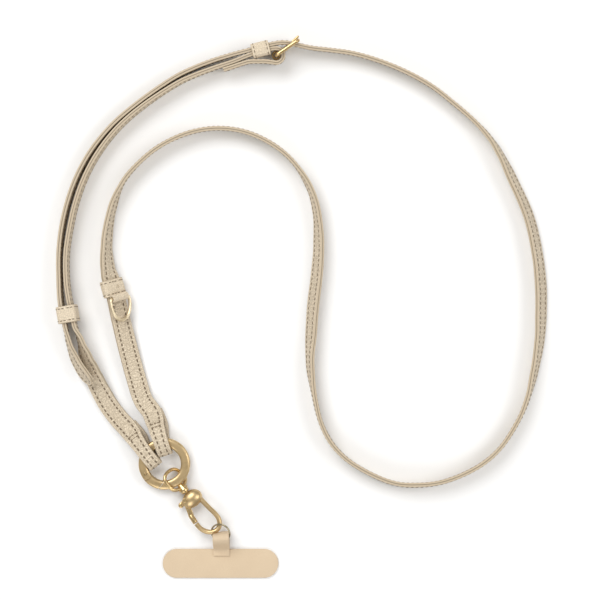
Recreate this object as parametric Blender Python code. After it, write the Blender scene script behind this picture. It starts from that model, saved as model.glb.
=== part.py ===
"""Phone crossbody strap, laid on a surface in three loops.

A long strap and a short buckle strap of two-ply leather both end on a round spring-gate ring. A swivel
snap hook, a jump ring and a flat tab that goes inside a phone case hang from that ring.
Metres, +Z up. The origin is the middle of the laid strap, on the surface that it lies on.
"""

import math

import bmesh
import bpy
from mathutils import Matrix, Vector

# Size of the laid strap, which the route tables share out
LAY_WIDTH = 0.2534
LAY_DEPTH = 0.2790

# Straps
STRAP_WIDTH = 0.0100
STRAP_THICK = 0.0021
STRAP_EDGE_ROUND = 0.0006
STRAP_END_WIDTH = 0.0074
RETURN_PLY_LENGTH = 0.0165
RETURN_PLY_DRIFT = 0.0013
TRACK_GAP = 0.0028
FOLD_BACK_LENGTH = 0.0285
ROUTE_STEP = 0.0070

# Running gap between pieces that touch on the real product
CLEAR = 0.0003

# Leather keepers
KEEPER_WALL = 0.0010
KEEPER_ROOM = 0.0004
TOP_KEEPER_LENGTH = 0.0092
LOWER_KEEPER_LENGTH = 0.0088
RING_KEEPER_LENGTH = 0.0086

# Buckle
BUCKLE_WIRE = 0.0019
BUCKLE_SIDE_ROOM = 0.0004
PRONG_WIRE = 0.0011

# D-ring and the leather roll that holds it
D_RING_WIRE = 0.0016
D_RING_WIDTH = 0.0118
D_RING_DROP = 0.0116
ROLL_WALL = 0.0009

# Spring-gate ring
GATE_RING_OUTER = 0.0267
GATE_RING_BAND = 0.0048
GATE_RING_THICK = 0.0036
GATE_RING_ROUND = 0.0011
GATE_JOINT_ANGLE = 223.7
GATE_TIP_ANGLE = 262.0
GATE_PIN_ANGLE = 207.6
GATE_PIN_WIRE = 0.0014
GATE_TONGUE_THICK = 0.0014
GATE_TONGUE_ROUND = 0.0019

# Swivel snap hook
HOOK_AIM = -49.0
EYE_WIDTH = 0.0122
EYE_LENGTH = 0.0126
EYE_WIRE = 0.0018
NECK_WIRE = 0.0044
NECK_LENGTH = 0.0023
POST_WIRE = 0.0022
POST_LENGTH = 0.0026
BARREL_LENGTH = 0.0088
BARREL_WIDTH = 0.0114
BARREL_THICK = 0.0072
HOOK_WIRE = 0.0025
HOOK_LENGTH = 0.0205
HOOK_HALF_WIDTH = 0.0066
HOOK_RISE = 0.0016
HOOK_GATE_WIRE = 0.0028
HOOK_TONGUE_THICK = 0.0020
RIVET_WIRE = 0.0016
RIVET_HEAD = 0.0024
RIVET_PROUD = 0.0003
# Places from the barrel's middle: along the hook and to its left
RIVET_PLACE = (-0.0019, -0.0029)
KNOB_PLACE = (-0.0012, -0.0064)
# Where the gate meets the fixed hook, as a share of HOOK_LENGTH
GATE_NOSE = 0.505
# The eye's middle from the gate ring's middle, as shares of the ring's radius: its rim passes over the ring's
# band on one side and under it on the other
EYE_PLACE = (0.41, -0.61)

# Jump ring and phone tab
JUMP_RING_OUTER = 0.0106
JUMP_RING_WIRE = 0.0009
# The way it rises, and where it crosses over and under the hook's bar as shares of the hook's length and half
# width
JUMP_LEAN_WAY = 45.0
JUMP_OVER, JUMP_UNDER = (0.93, 0.45), (1.01, -0.68)
TAB_LENGTH = 0.0600
TAB_DEPTH = 0.0150
TAB_THICK = 0.0010
STEM_WIDTH = 0.0083
STEM_LENGTH = 0.0086
STEM_SHEET = 0.0006
STEM_SKEW = 0.0010
# How far the pill's middle is from its stem, as a share of its length
TAB_SHIFT = -0.009

UP = Vector((0, 0, 1))

for old in list(bpy.data.objects):
    bpy.data.objects.remove(old, do_unlink=True)


def material(name, colour, roughness, metallic):
    made = bpy.data.materials.new(name)
    made.use_nodes = True
    shader = made.node_tree.nodes["Principled BSDF"]
    shader.inputs["Base Color"].default_value = (*colour, 1)
    shader.inputs["Roughness"].default_value = roughness
    shader.inputs["Metallic"].default_value = metallic
    return made


def solid(name, bm, finish, smooth_below=35.0):
    """A named object from a bmesh, in its finish."""
    bmesh.ops.recalc_face_normals(bm, faces=bm.faces)
    mesh = bpy.data.meshes.new(name)
    bm.to_mesh(mesh)
    bm.free()
    mesh.shade_smooth()
    mesh.set_sharp_from_angle(angle=math.radians(smooth_below))
    mesh.materials.append(finish)
    made = bpy.data.objects.new(name, mesh)
    bpy.context.scene.collection.objects.link(made)
    return made


def combine(target, helper, operation):
    """Joins or cuts the target by a helper, which stays as a wire guide."""
    helper.hide_render = True
    helper.display_type = "WIRE"
    step = target.modifiers.new(helper.name, "BOOLEAN")
    step.operation = operation
    step.solver = "EXACT"
    step.object = helper


def loft(sections, closed=False):
    """A skin over rings of points with as many points each, capped at its ends unless it closes on itself."""
    bm = bmesh.new()
    rings = [[bm.verts.new(point) for point in section] for section in sections]
    pairs = list(zip(rings, rings[1:]))
    if closed:
        pairs.append((rings[-1], rings[0]))
    count = len(rings[0])
    for first, second in pairs:
        for i in range(count):
            j = (i + 1) % count
            bm.faces.new((first[i], first[j], second[j], second[i]))
    if not closed:
        bm.faces.new(rings[0])
        bm.faces.new(reversed(rings[-1]))
    return bm


def round_section(diameter, sides):
    turn = 2 * math.pi / sides
    return [(math.cos(i * turn) * diameter / 2, math.sin(i * turn) * diameter / 2) for i in range(sides)]


def box_section(wide, high, corner, steps=1):
    """A rectangle with rounded corners: steps of 1 gives a single chamfer."""
    points = []
    for quarter in range(4):
        a = quarter * math.pi / 2
        sx = 1 if quarter in (0, 3) else -1
        sy = 1 if quarter in (0, 1) else -1
        centre_x = sx * (wide / 2 - corner)
        centre_y = sy * (high / 2 - corner)
        for k in range(steps + 1):
            b = a + k * math.pi / 2 / steps
            points.append((centre_x + corner * math.cos(b), centre_y + corner * math.sin(b)))
    return points


def placed(section, centre, across, along):
    return [centre + across * x + along * y for x, y in section]


def bend(knots, step, closed=False):
    """A smooth curve through the knots, as (knot number, share of the way to the next, point)."""
    count = len(knots)
    spans = count if closed else count - 1
    points = []
    for i in range(spans):
        b = knots[i]
        c = knots[(i + 1) % count]
        a = knots[(i - 1) % count] if closed or i > 0 else b * 2 - c
        d = knots[(i + 2) % count] if closed or i < count - 2 else c * 2 - b
        ab, bc, cd = (max((q - p).length, 1e-6) ** 0.5 for p, q in ((a, b), (b, c), (c, d)))
        leave = (b - a) / ab - (c - a) / (ab + bc) + (c - b) / bc
        arrive = (c - b) / bc - (d - b) / (bc + cd) + (d - c) / cd
        parts = max(1, math.ceil((c - b).length / step))
        for k in range(parts):
            u = k / parts
            point = (
                b * (2 * u**3 - 3 * u**2 + 1)
                + c * (3 * u**2 - 2 * u**3)
                + leave * bc * (u**3 - 2 * u**2 + u)
                + arrive * bc * (u**3 - u**2)
            )
            points.append((i, u, point))
    if not closed:
        points.append((spans - 1, 1.0, knots[-1].copy()))
    return points


def wire(knots, diameter, sides, step, closed=False):
    """A round wire along a smooth curve, its frame carried along without twist."""
    points = [point for _, _, point in bend(knots, step, closed)]
    count = len(points)
    sections = []
    across = None
    for i, point in enumerate(points):
        before = points[i - 1] if i or closed else point
        after = points[(i + 1) % count] if i < count - 1 or closed else point
        along = (after - before).normalized()
        if across is None:
            across = along.orthogonal()
        across = (across - along * across.dot(along)).normalized()
        sections.append(placed(round_section(diameter, sides), point, across, along.cross(across)))
    return loft(sections, closed)


def left_of(heading):
    return Vector((-heading.y, heading.x, 0)).normalized()


# Leather straps

LEATHER = material("strap_leather", (0.63, 0.52, 0.38), 0.6, 0.0)
GOLD = material("pale_gold", (0.72, 0.56, 0.32), 0.3, 1.0)
JUMP_METAL = material("jump_ring_metal", (0.50, 0.42, 0.28), 0.3, 1.0)
TAB_SHEET = material("tab_sheet", (0.71, 0.55, 0.38), 0.75, 0.0)

BUCKLE_HEIGHT = STRAP_WIDTH + 2 * BUCKLE_SIDE_ROOM + 2 * BUCKLE_WIRE
LIFTS = {
    "floor": 0.0,
    "half": (KEEPER_WALL + CLEAR) / 2,
    "keeper": KEEPER_WALL + CLEAR,
    "sleeve": 1.6 * (KEEPER_WALL + CLEAR),
    "buckle": (BUCKLE_HEIGHT - STRAP_WIDTH) / 2 + 2 * CLEAR,
    "ply": STRAP_THICK + CLEAR,
    "leg": 0.32 * STRAP_WIDTH,
    "tip": 0.50 * STRAP_WIDTH,
}

# The long strap from its free tail to the gate ring. Columns: place across and up the layout as shares of its
# width and depth, lean from upright in degrees towards face up, what it is lifted over, gap to the inner
# strap as a share of TRACK_GAP where one lies beside it, and the name of the place.
LONG_ROUTE = (
    (-0.4240, -0.1355, 30, "tip", None, "tail"),
    (-0.4425, -0.1200, 30, "leg", None, ""),
    (-0.4600, -0.0956, 26, "keeper", None, ""),
    (-0.4740, -0.0625, 14, "keeper", None, ""),
    (-0.4815, -0.0303, 4, "keeper", None, ""),
    (-0.4855, -0.0110, 0, "keeper", 0.90, "lower_keeper"),
    (-0.4905, 0.0165, 0, "keeper", 0.75, ""),
    (-0.4930, 0.0551, 0, "half", 0.45, ""),
    (-0.4935, 0.1029, 0, "floor", 0.45, ""),
    (-0.4880, 0.1489, 0, "floor", 0.60, ""),
    (-0.4761, 0.1967, 0, "floor", 0.58, ""),
    (-0.4575, 0.2436, 0, "floor", 0.52, ""),
    (-0.4291, 0.2904, 0, "floor", 0.40, ""),
    (-0.3879, 0.3373, 1, "floor", 0.24, ""),
    (-0.3366, 0.3781, 2, "floor", 0.12, ""),
    (-0.2591, 0.4274, 4, "floor", 0.30, ""),
    (-0.2206, 0.4449, 5, "floor", 0.42, ""),
    (-0.1818, 0.4583, 6, "half", 0.46, ""),
    (-0.1431, 0.4690, 7, "keeper", 0.38, ""),
    (-0.1080, 0.4768, 8, "buckle", 0.00, ""),
    (-0.0850, 0.4825, 8, "buckle", 0.00, "top_keeper"),
    (-0.0570, 0.4888, 8, "buckle", 0.00, "heel"),
    (-0.0364, 0.4910, 8, "buckle", None, ""),
    (-0.0101, 0.4866, 8, "buckle", None, "far_bar"),
    (0.0202, 0.4818, 8, "keeper", None, ""),
    (0.0607, 0.4783, 8, "floor", None, ""),
    (0.1053, 0.4724, 8, "floor", None, ""),
    (0.1640, 0.4566, 8, "floor", None, ""),
    (0.2206, 0.4347, 8, "floor", None, ""),
    (0.2672, 0.4103, 8, "floor", None, ""),
    (0.3077, 0.3816, 8, "floor", None, ""),
    (0.3502, 0.3483, 9, "floor", None, ""),
    (0.3826, 0.3162, 13, "floor", None, ""),
    (0.4040, 0.2860, 19, "floor", None, ""),
    (0.4290, 0.2400, 28, "floor", None, ""),
    (0.4620, 0.1715, 31, "floor", None, ""),
    (0.4798, 0.1011, 33, "floor", None, ""),
    (0.4868, 0.0400, 35, "floor", None, ""),
    (0.4870, -0.0100, 34, "floor", None, ""),
    (0.4842, -0.0570, 29, "floor", None, ""),
    (0.4736, -0.1150, 22, "floor", None, ""),
    (0.4595, -0.1654, 13, "floor", None, ""),
    (0.4420, -0.2040, 10, "floor", None, ""),
    (0.4025, -0.2590, 9, "floor", None, ""),
    (0.3591, -0.2919, 8, "floor", None, ""),
    (0.2895, -0.3195, 8, "floor", None, ""),
    (0.2336, -0.3261, 9, "floor", None, ""),
    (0.1842, -0.3217, 7, "floor", None, ""),
    (0.1154, -0.2934, 4, "floor", None, ""),
    (0.0804, -0.2697, 2, "floor", None, ""),
    (0.0559, -0.2426, 0, "floor", None, ""),
    (0.0385, -0.2100, 1, "floor", None, ""),
    (0.0263, -0.1654, 3, "floor", None, ""),
    (0.0166, -0.1011, 15, "floor", None, ""),
    (0.0192, -0.0386, 26, "floor", None, ""),
    (0.0235, 0.0129, 28, "floor", None, ""),
    (0.0304, 0.0643, 27, "floor", None, ""),
    (0.0342, 0.1200, 23, "floor", None, ""),
    (0.0300, 0.1801, 14, "floor", None, ""),
    (0.0160, 0.2240, 8, "floor", None, ""),
    (-0.0182, 0.2726, -2, "floor", None, ""),
    (-0.0607, 0.3051, -5, "floor", None, ""),
    (-0.1174, 0.3281, -6, "floor", None, ""),
    (-0.1741, 0.3342, -6, "floor", None, ""),
    (-0.2300, 0.3260, -6, "floor", None, ""),
    (-0.2862, 0.3033, -7, "floor", None, ""),
    (-0.3280, 0.2740, -7, "floor", None, ""),
    (-0.3644, 0.2353, -4, "floor", None, ""),
    (-0.3868, 0.1850, 9, "floor", None, ""),
    (-0.3975, 0.1200, 18, "half", None, ""),
    (-0.3950, 0.0763, 31, "keeper", None, ""),
    (-0.3900, 0.0580, 46, "sleeve", None, ""),
    (-0.3844, 0.0390, 49, "sleeve", None, "ring_keeper"),
    (-0.3786, 0.0200, 52, "sleeve", None, ""),
    (-0.3690, -0.0200, 62, "keeper", None, ""),
    (-0.3545, -0.0754, 70, "half", None, ""),
    (-0.3385, -0.1305, 76, "floor", None, ""),
    (-0.3240, -0.1700, 82, "half", None, ""),
)

# The buckle strap from the gate ring to the lower keeper, where its route joins the long strap's inner side.
LEG_ROUTE = (
    (-0.3722, -0.2060, 87, "half", None, ""),
    (-0.3930, -0.1820, 84, "floor", None, ""),
    (-0.4070, -0.1599, 78, "floor", None, ""),
    (-0.4190, -0.1379, 68, "floor", None, ""),
    (-0.4298, -0.1140, 54, "floor", None, ""),
    (-0.4403, -0.0882, 38, "half", None, ""),
    (-0.4500, -0.0588, 18, "keeper", None, ""),
    (-0.4612, -0.0330, 3, "keeper", None, ""),
)

# The turned-back end of the buckle strap past the heel bar, as places beside its own inner side. Columns:
# place back along the strap from the heel bar as a share of FOLD_BACK_LENGTH, and gap to the strap as a share
# of the widest gap, beside the heel bar.
FOLD_BACK = (
    (0.10, 0.82),
    (0.22, 0.58),
    (0.34, 0.40),
    (0.50, 0.15),
    (0.66, 0.05),
    (0.83, 0.01),
    (1.00, 0.00),
)

# Where each strap end crosses the gate ring's band, and which way it points there, in degrees
LONG_CROSSING, LONG_HEADING = 97.0, -71.5
SHORT_CROSSING, SHORT_HEADING = 149.0, -52.5
RING_PLACE = (-0.2804, -0.2869)

RING_Z = STRAP_THICK + CLEAR + GATE_RING_THICK / 2
RING_CENTRE = Vector((RING_PLACE[0] * LAY_WIDTH, RING_PLACE[1] * LAY_DEPTH, RING_Z))
RING_RADIUS = (GATE_RING_OUTER - GATE_RING_BAND) / 2


def polar(degrees, radius=1.0):
    return Vector((math.cos(math.radians(degrees)), math.sin(math.radians(degrees)), 0)) * radius


class Knot:
    """A place on a strap: its middle, outward face, direction of its width, width and name."""

    def __init__(self, point, face, width_way, width=STRAP_WIDTH, name=""):
        self.point = point
        self.face = face
        self.width_way = width_way
        self.width = width
        self.name = name


def knots_of(table):
    flat = [Vector((row[0] * LAY_WIDTH, row[1] * LAY_DEPTH, 0)) for row in table]
    knots = []
    for i, row in enumerate(table):
        heading = (flat[min(i + 1, len(flat) - 1)] - flat[max(i - 1, 0)]).normalized()
        lean = math.radians(row[2])
        width_way = UP * math.cos(lean) - left_of(heading) * math.sin(lean)
        height = LIFTS[row[3]] + rest_height(width_way)
        knots.append(Knot(flat[i] + UP * height, width_way.cross(heading), width_way, name=row[5]))
    return knots


def rest_height(width_way):
    """How high the strap's middle is when its edge touches the surface."""
    flat = math.sqrt(max(0.0, 1 - width_way.z**2))
    return STRAP_WIDTH / 2 * abs(width_way.z) + STRAP_THICK / 2 * flat


def band_edge(middle, inward, side, radius):
    """How far along the strap from its crossing one of its edges meets a circle of the gate ring."""
    place = middle - Vector((RING_CENTRE.x, RING_CENTRE.y, 0)) + left_of(inward) * side * STRAP_END_WIDTH / 2
    toward = place.dot(inward)
    return -toward - math.sqrt(max(0.0, toward**2 - place.length_squared + radius**2))


def ring_fold(crossing, heading):
    """The strap's end over the ring's band, round its inner side and back beneath to its sewn end."""
    middle = RING_CENTRE + polar(crossing, RING_RADIUS)
    middle.z = 0
    inward = polar(heading)
    east = left_of(inward) if left_of(inward).x > 0 else -left_of(inward)
    low = STRAP_THICK / 2
    high = RING_Z + GATE_RING_THICK / 2 + CLEAR + STRAP_THICK / 2
    sewn = STRAP_THICK * 1.5 + CLEAR
    reach = GATE_RING_BAND / 2
    # The band curves away under the strap, which crosses it aslant, so the fold clears its furthest part.
    outer = GATE_RING_OUTER / 2
    outer_reach = max(-band_edge(middle, inward, side, outer) for side in (-1, 1))
    inner_reach = max(band_edge(middle, inward, side, outer - GATE_RING_BAND) for side in (-1, 1))
    bulge = inner_reach - reach * 0.55 + CLEAR + STRAP_THICK / 2
    points = []
    rising = 0.45 * sewn + 0.55 * high
    for out, height, wide in ((1.0, sewn, 0.0), (0.72, sewn, 0.15), (0.5, rising, 0.6)):
        along = -RETURN_PLY_LENGTH * out
        points.append((along, height, wide, 0.0))
    points.append((-outer_reach, high, 0.9, 0.0))
    for k in range(9):
        turn = math.pi * k / 8
        points.append(
            (
                reach * 0.55 + bulge * math.sin(turn),
                (high + low) / 2 + (high - low) / 2 * math.cos(turn),
                1.0,
                0.0,
            )
        )
    points.append((-outer_reach, low, 0.8, 0.35))
    points.append((-0.55 * RETURN_PLY_LENGTH, low, 0.35, 1.0))
    points.append((-RETURN_PLY_LENGTH, low, 0.1, 0.4))
    knots = []
    for along, height, narrow, drift in points:
        width = STRAP_WIDTH + (STRAP_END_WIDTH - STRAP_WIDTH) * narrow
        place = middle + inward * along + east * drift * RETURN_PLY_DRIFT + UP * height
        knots.append(Knot(place, UP, -left_of(inward), width))
    return knots


def inner_track():
    """The buckle strap along the inner side of the long strap, from the lower keeper to the heel bar."""
    knots = []
    for row, knot in zip(LONG_ROUTE, LONG):
        if row[4] is None:
            continue
        place = knot.point - knot.face * (STRAP_THICK + CLEAR + row[4] * TRACK_GAP)
        place.z = max(place.z, rest_height(knot.width_way))
        knots.append(Knot(place, knot.face, knot.width_way, name=row[5]))
    return knots


def frame_at(knots, name):
    """Point, direction, outward face and width direction at a named place of a strap."""
    at = next(i for i, knot in enumerate(knots) if knot.name == name)
    heading = (knots[at + 1].point - knots[at - 1].point).normalized()
    width_way = (knots[at].width_way - heading * knots[at].width_way.dot(heading)).normalized()
    return knots[at].point, heading, width_way.cross(heading), width_way


LONG = knots_of(LONG_ROUTE)
HEEL_POINT, HEEL_ALONG, HEEL_OUT, HEEL_WIDE = frame_at(LONG, "heel")
PRONG_EYE = BUCKLE_WIRE + 2 * CLEAR + 2 * PRONG_WIRE
FOLD_RADIUS = PRONG_EYE / 2 + CLEAR + STRAP_THICK / 2
HEEL_BAR = HEEL_POINT - HEEL_OUT * (STRAP_THICK + CLEAR + FOLD_RADIUS)
FAR_POINT, _, FAR_OUT, _ = frame_at(LONG, "far_bar")
FAR_BAR = FAR_POINT + FAR_OUT * (STRAP_THICK / 2 + CLEAR + BUCKLE_WIRE / 2)


def heel_fold(track):
    """The buckle strap round the heel bar and back beside its own inner side to its cut end."""
    knots = []
    for degrees in (50, 15, -20, -55, -90):
        turn = math.radians(degrees)
        way = HEEL_ALONG * math.cos(turn) + HEEL_OUT * math.sin(turn)
        knots.append(Knot(HEEL_BAR + way * FOLD_RADIUS, way, HEEL_WIDE))
    run = 0.0
    places = [(0.0, track[-1])]
    for after, before in zip(reversed(track), reversed(track[:-1])):
        run += (after.point - before.point).length
        places.append((run, before))
    widest = 2 * FOLD_RADIUS - STRAP_THICK - CLEAR
    for back, gap in FOLD_BACK:
        i = next(k for k, (far, _) in enumerate(places) if far >= back * FOLD_BACK_LENGTH)
        (near, first), (far, second) = places[i - 1], places[i]
        u = (back * FOLD_BACK_LENGTH - near) / (far - near)
        face = (first.face * (1 - u) + second.face * u).normalized()
        point = first.point * (1 - u) + second.point * u
        place = point - face * (STRAP_THICK + CLEAR + gap * widest)
        knots.append(Knot(place, -face, first.width_way * (1 - u) + second.width_way * u))
    return knots


def strap(name, knots, tail=0.0):
    """A two-ply strap along its knots. The tail narrows to a round tip over that length from its start."""
    points = [knot.point for knot in knots]
    placed_points = bend(points, ROUTE_STEP)
    count = len(placed_points)
    sections = []
    run = 0.0
    for i, (k, u, point) in enumerate(placed_points):
        before = placed_points[max(i - 1, 0)][2]
        after = placed_points[min(i + 1, count - 1)][2]
        run += (point - before).length
        along = (after - before).normalized()
        knot, following = knots[k], knots[k + 1]
        width_way = knot.width_way * (1 - u) + following.width_way * u
        width_way = (width_way - along * width_way.dot(along)).normalized()
        width = knot.width * (1 - u) + following.width * u
        if run < tail:
            width *= max(0.25, math.sqrt(1 - (1 - run / tail) ** 2))
        section = box_section(STRAP_THICK, width, STRAP_EDGE_ROUND)
        sections.append(placed(section, point, width_way.cross(along), width_way))
    return solid(name, loft(sections), LEATHER)


def prong_line():
    """The prong from the heel bar to the outer side of the far bar."""
    tip = FAR_BAR + FAR_OUT * (BUCKLE_WIRE / 2 + CLEAR + PRONG_WIRE / 2) * 1.3
    return HEEL_BAR, tip, (tip - HEEL_BAR).normalized()


def block(name, centre, axes, sizes, finish):
    """A box on three axes of its own."""
    bm = bmesh.new()
    bmesh.ops.create_cube(bm, size=1)
    turn = Matrix([axis * size for axis, size in zip(axes, sizes)]).transposed().to_4x4()
    bmesh.ops.transform(bm, matrix=Matrix.Translation(centre) @ turn, verts=bm.verts)
    return solid(name, bm, finish)


def rod(centre, way, diameter, length, sides=16):
    """A round bar about its middle, as a bmesh."""
    across = way.orthogonal().normalized()
    along = way.cross(across)
    ends = [centre - way * length / 2, centre + way * length / 2]
    return loft([placed(round_section(diameter, sides), end, across, along) for end in ends])


def make_straps():
    long_strap = strap("long_strap", LONG + ring_fold(LONG_CROSSING, LONG_HEADING), tail=STRAP_WIDTH * 0.6)
    track = inner_track()
    short_fold = list(reversed(ring_fold(SHORT_CROSSING, SHORT_HEADING)))
    for knot in short_fold:
        knot.width_way = -knot.width_way
    short = short_fold + knots_of(LEG_ROUTE) + track + heel_fold(track)
    buckle_strap = strap("buckle_strap", short)
    start, end, way = prong_line()
    slot = PRONG_WIRE + 2 * CLEAR
    side = way.cross(HEEL_WIDE)
    axes = (way, side, HEEL_WIDE)
    cutter = block(
        "prong_slot", (start + end) / 2, axes, ((end - start).length + slot, slot, slot), LEATHER
    )
    combine(long_strap, cutter, "DIFFERENCE")
    combine(buckle_strap, cutter, "DIFFERENCE")


def keeper(name, centre, along, out, wide, room_out, length):
    """A leather loop round one or two straps: room_out is its inner size through the straps."""
    room_wide = STRAP_WIDTH + 2 * CLEAR
    corner = KEEPER_WALL * 1.4
    path = box_section(room_out + KEEPER_WALL, room_wide + KEEPER_WALL, corner, steps=3)
    count = len(path)
    sections = []
    for i, (x, y) in enumerate(path):
        before, after = path[i - 1], path[(i + 1) % count]
        heading = (out * (after[0] - before[0]) + wide * (after[1] - before[1])).normalized()
        section = box_section(KEEPER_WALL, length, KEEPER_WALL * 0.25)
        sections.append(placed(section, centre + out * x + wide * y, heading.cross(along), along))
    return solid(name, loft(sections, closed=True), LEATHER)


def make_keepers():
    track = inner_track()
    for name, place, length in (
        ("top_keeper", "top_keeper", TOP_KEEPER_LENGTH),
        ("lower_keeper", "lower_keeper", LOWER_KEEPER_LENGTH),
    ):
        outer, along, out, wide = frame_at(LONG, place)
        inner = next(knot.point for knot in track if knot.name == place)
        spacing = (outer - inner).length
        room = spacing + STRAP_THICK + 2 * CLEAR + KEEPER_ROOM
        keeper(name, (outer + inner) / 2, along, out, wide, room, length)


def make_ring_keeper():
    """The sewn leather loop on the long strap, and the roll at its front that the D-ring's bar turns in."""
    centre, along, out, wide = frame_at(LONG, "ring_keeper")
    room = STRAP_THICK + 2 * CLEAR + KEEPER_ROOM
    sleeve = keeper("ring_keeper", centre, along, out, wide, room, RING_KEEPER_LENGTH)
    bore = D_RING_WIRE + 2 * CLEAR
    roll = bore + 2 * ROLL_WALL
    face = STRAP_THICK / 2 + CLEAR + roll / 2
    bar = centre + along * (RING_KEEPER_LENGTH / 2 + roll * 0.3) + out * face
    length = D_RING_WIDTH - D_RING_WIRE - 2 * CLEAR
    combine(sleeve, solid("ring_roll", rod(bar, wide, roll, length), LEATHER), "UNION")
    combine(sleeve, solid("ring_roll_bore", rod(bar, wide, bore, STRAP_WIDTH * 2), LEATHER), "DIFFERENCE")
    make_d_ring(bar, along, out, wide, face)


def make_d_ring(bar, along, out, wide, face):
    """A wire D: its straight bar turns in the roll and its bow lies on the strap."""
    half = D_RING_WIDTH / 2
    corner = D_RING_WIRE
    fall = face - STRAP_THICK / 2 - CLEAR - D_RING_WIRE / 2
    drop = along * D_RING_DROP - out * fall
    way = drop.normalized()
    bow = [(-half * 0.92, 0.48), (-half * 0.66, 0.78), (-half * 0.25, 0.97)]
    bow += [(half * 0.25, 1.0), (half * 0.72, 0.86), (half * 0.98, 0.52)]
    knots = [bar + wide * x + drop * share for x, share in bow]
    knots = [bar - wide * half + way * corner] + knots + [bar + wide * half + way * corner]
    knots += [bar + wide * (half - corner * 0.3) + way * corner * 0.3, bar + wide * (half - corner)]
    knots += [bar, bar - wide * (half - corner), bar - wide * (half - corner * 0.3) + way * corner * 0.3]
    solid("d_ring", wire(knots, D_RING_WIRE, 8, 0.002, closed=True), GOLD)


def make_buckle():
    """The buckle's wire frame round both straps, and its prong, hidden under the upper rail."""
    half = (BUCKLE_HEIGHT - BUCKLE_WIRE) / 2
    reach = FAR_BAR - HEEL_BAR
    way = reach.normalized()
    corner = BUCKLE_WIRE * 0.8
    frame = []
    for x, y in box_section(reach.length, 2 * half, corner, steps=3):
        frame.append((HEEL_BAR + FAR_BAR) / 2 + way * x + HEEL_WIDE * y)
    solid("buckle_frame", wire(frame, BUCKLE_WIRE, 8, 0.005, closed=True), GOLD)
    start, end, line = prong_line()
    eye_inner = BUCKLE_WIRE + 2 * CLEAR
    prong_start = start + line * (eye_inner / 2 + PRONG_WIRE * 0.3)
    span = end - prong_start
    prong = solid("buckle_prong", rod(prong_start + span / 2, line, PRONG_WIRE, span.length, 10), GOLD)
    side = line.cross(HEEL_WIDE)
    ring = []
    for k in range(12):
        turn = k * math.pi / 6
        ring.append(start + (line * math.cos(turn) + side * math.sin(turn)) * (eye_inner + PRONG_WIRE) / 2)
    combine(prong, solid("prong_eye", wire(ring, PRONG_WIRE, 8, 0.002, closed=True), GOLD), "UNION")


# Spring-gate ring

def arc_band(first, last, steps, grown=0.0):
    """A stretch of the ring's band between two angles."""
    section = box_section(GATE_RING_BAND + grown, GATE_RING_THICK + grown, GATE_RING_ROUND, steps=2)
    sections = []
    for k in range(steps + 1):
        degrees = first + (last - first) * k / steps
        centre = RING_CENTRE + polar(degrees, RING_RADIUS)
        sections.append(placed(section, centre, polar(degrees), UP))
    return loft(sections)


def make_gate_ring():
    pin_place = RING_CENTRE + polar(GATE_PIN_ANGLE, RING_RADIUS)
    # Both ends of the gate are round about the pin, so that its corners pass the fixed arc as it turns in.
    joint = (RING_CENTRE + polar(GATE_JOINT_ANGLE, RING_RADIUS) - pin_place).length
    tip = (RING_CENTRE + polar(GATE_TIP_ANGLE, RING_RADIUS) - pin_place).length
    spare = (GATE_JOINT_ANGLE - GATE_PIN_ANGLE) * 0.6
    first, last = GATE_JOINT_ANGLE - spare, GATE_TIP_ANGLE + spare
    ring = solid("gate_ring", arc_band(GATE_TIP_ANGLE - spare, GATE_JOINT_ANGLE + spare + 360, 46), GOLD)
    gate = solid("ring_gate", arc_band(first, last, 10), GOLD)
    room = solid("gate_room", arc_band(first, last, 10, CLEAR * 2), GOLD)
    rounds = []
    for name, radius in (
        ("gate_knuckle", joint),
        ("gate_swept", joint + CLEAR),
        ("gate_reach", tip),
        ("gate_tip_room", tip + CLEAR),
    ):
        rounds.append(solid(name, rod(pin_place, UP, 2 * radius, GATE_RING_THICK * 2, 48), GOLD))
    knuckle, swept, gate_reach, tip_room = rounds
    combine(room, tip_room, "INTERSECT")
    combine(room, knuckle, "DIFFERENCE")
    combine(ring, room, "DIFFERENCE")
    combine(gate, gate_reach, "INTERSECT")
    combine(gate, swept, "DIFFERENCE")
    # The gate's tongue turns about the pin in a fork sawn through the fixed arc.
    heading = polar(GATE_PIN_ANGLE + 90)
    outward = polar(GATE_PIN_ANGLE)
    fork_deep = GATE_TONGUE_ROUND + CLEAR
    fork_length = joint + fork_deep + GATE_RING_BAND / 2
    middle = pin_place + heading * (fork_length / 2 - fork_deep)
    fork_sizes = (fork_length, GATE_RING_BAND * 1.6, GATE_TONGUE_THICK + 2 * CLEAR)
    combine(ring, block("fork_cut", middle, (heading, outward, UP), fork_sizes, GOLD), "DIFFERENCE")
    reach = joint + GATE_RING_BAND * 0.35
    joint_way = (RING_CENTRE + polar(GATE_JOINT_ANGLE + 3, RING_RADIUS) - pin_place).normalized()
    tongue_middle = pin_place + joint_way * reach / 2
    tongue_sizes = (reach, GATE_TONGUE_ROUND * 1.7, GATE_TONGUE_THICK)
    tongue_axes = (joint_way, UP.cross(joint_way), UP)
    combine(gate, block("gate_tongue", tongue_middle, tongue_axes, tongue_sizes, GOLD), "UNION")
    eye = rod(pin_place, UP, GATE_TONGUE_ROUND * 2, GATE_TONGUE_THICK, 18)
    combine(gate, solid("gate_tongue_eye", eye, GOLD), "UNION")
    bore = rod(pin_place, UP, GATE_PIN_WIRE + 2 * CLEAR, GATE_RING_THICK * 2, 14)
    bore_guide = solid("gate_pin_bore", bore, GOLD)
    combine(gate, bore_guide, "DIFFERENCE")
    combine(ring, bore_guide, "DIFFERENCE")
    solid("gate_pin", rod(pin_place, UP, GATE_PIN_WIRE, GATE_RING_THICK, 12), GOLD)


# Swivel snap hook, in its own axes: AIM runs from the eye to the hook's end, SIDE to its right

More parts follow.
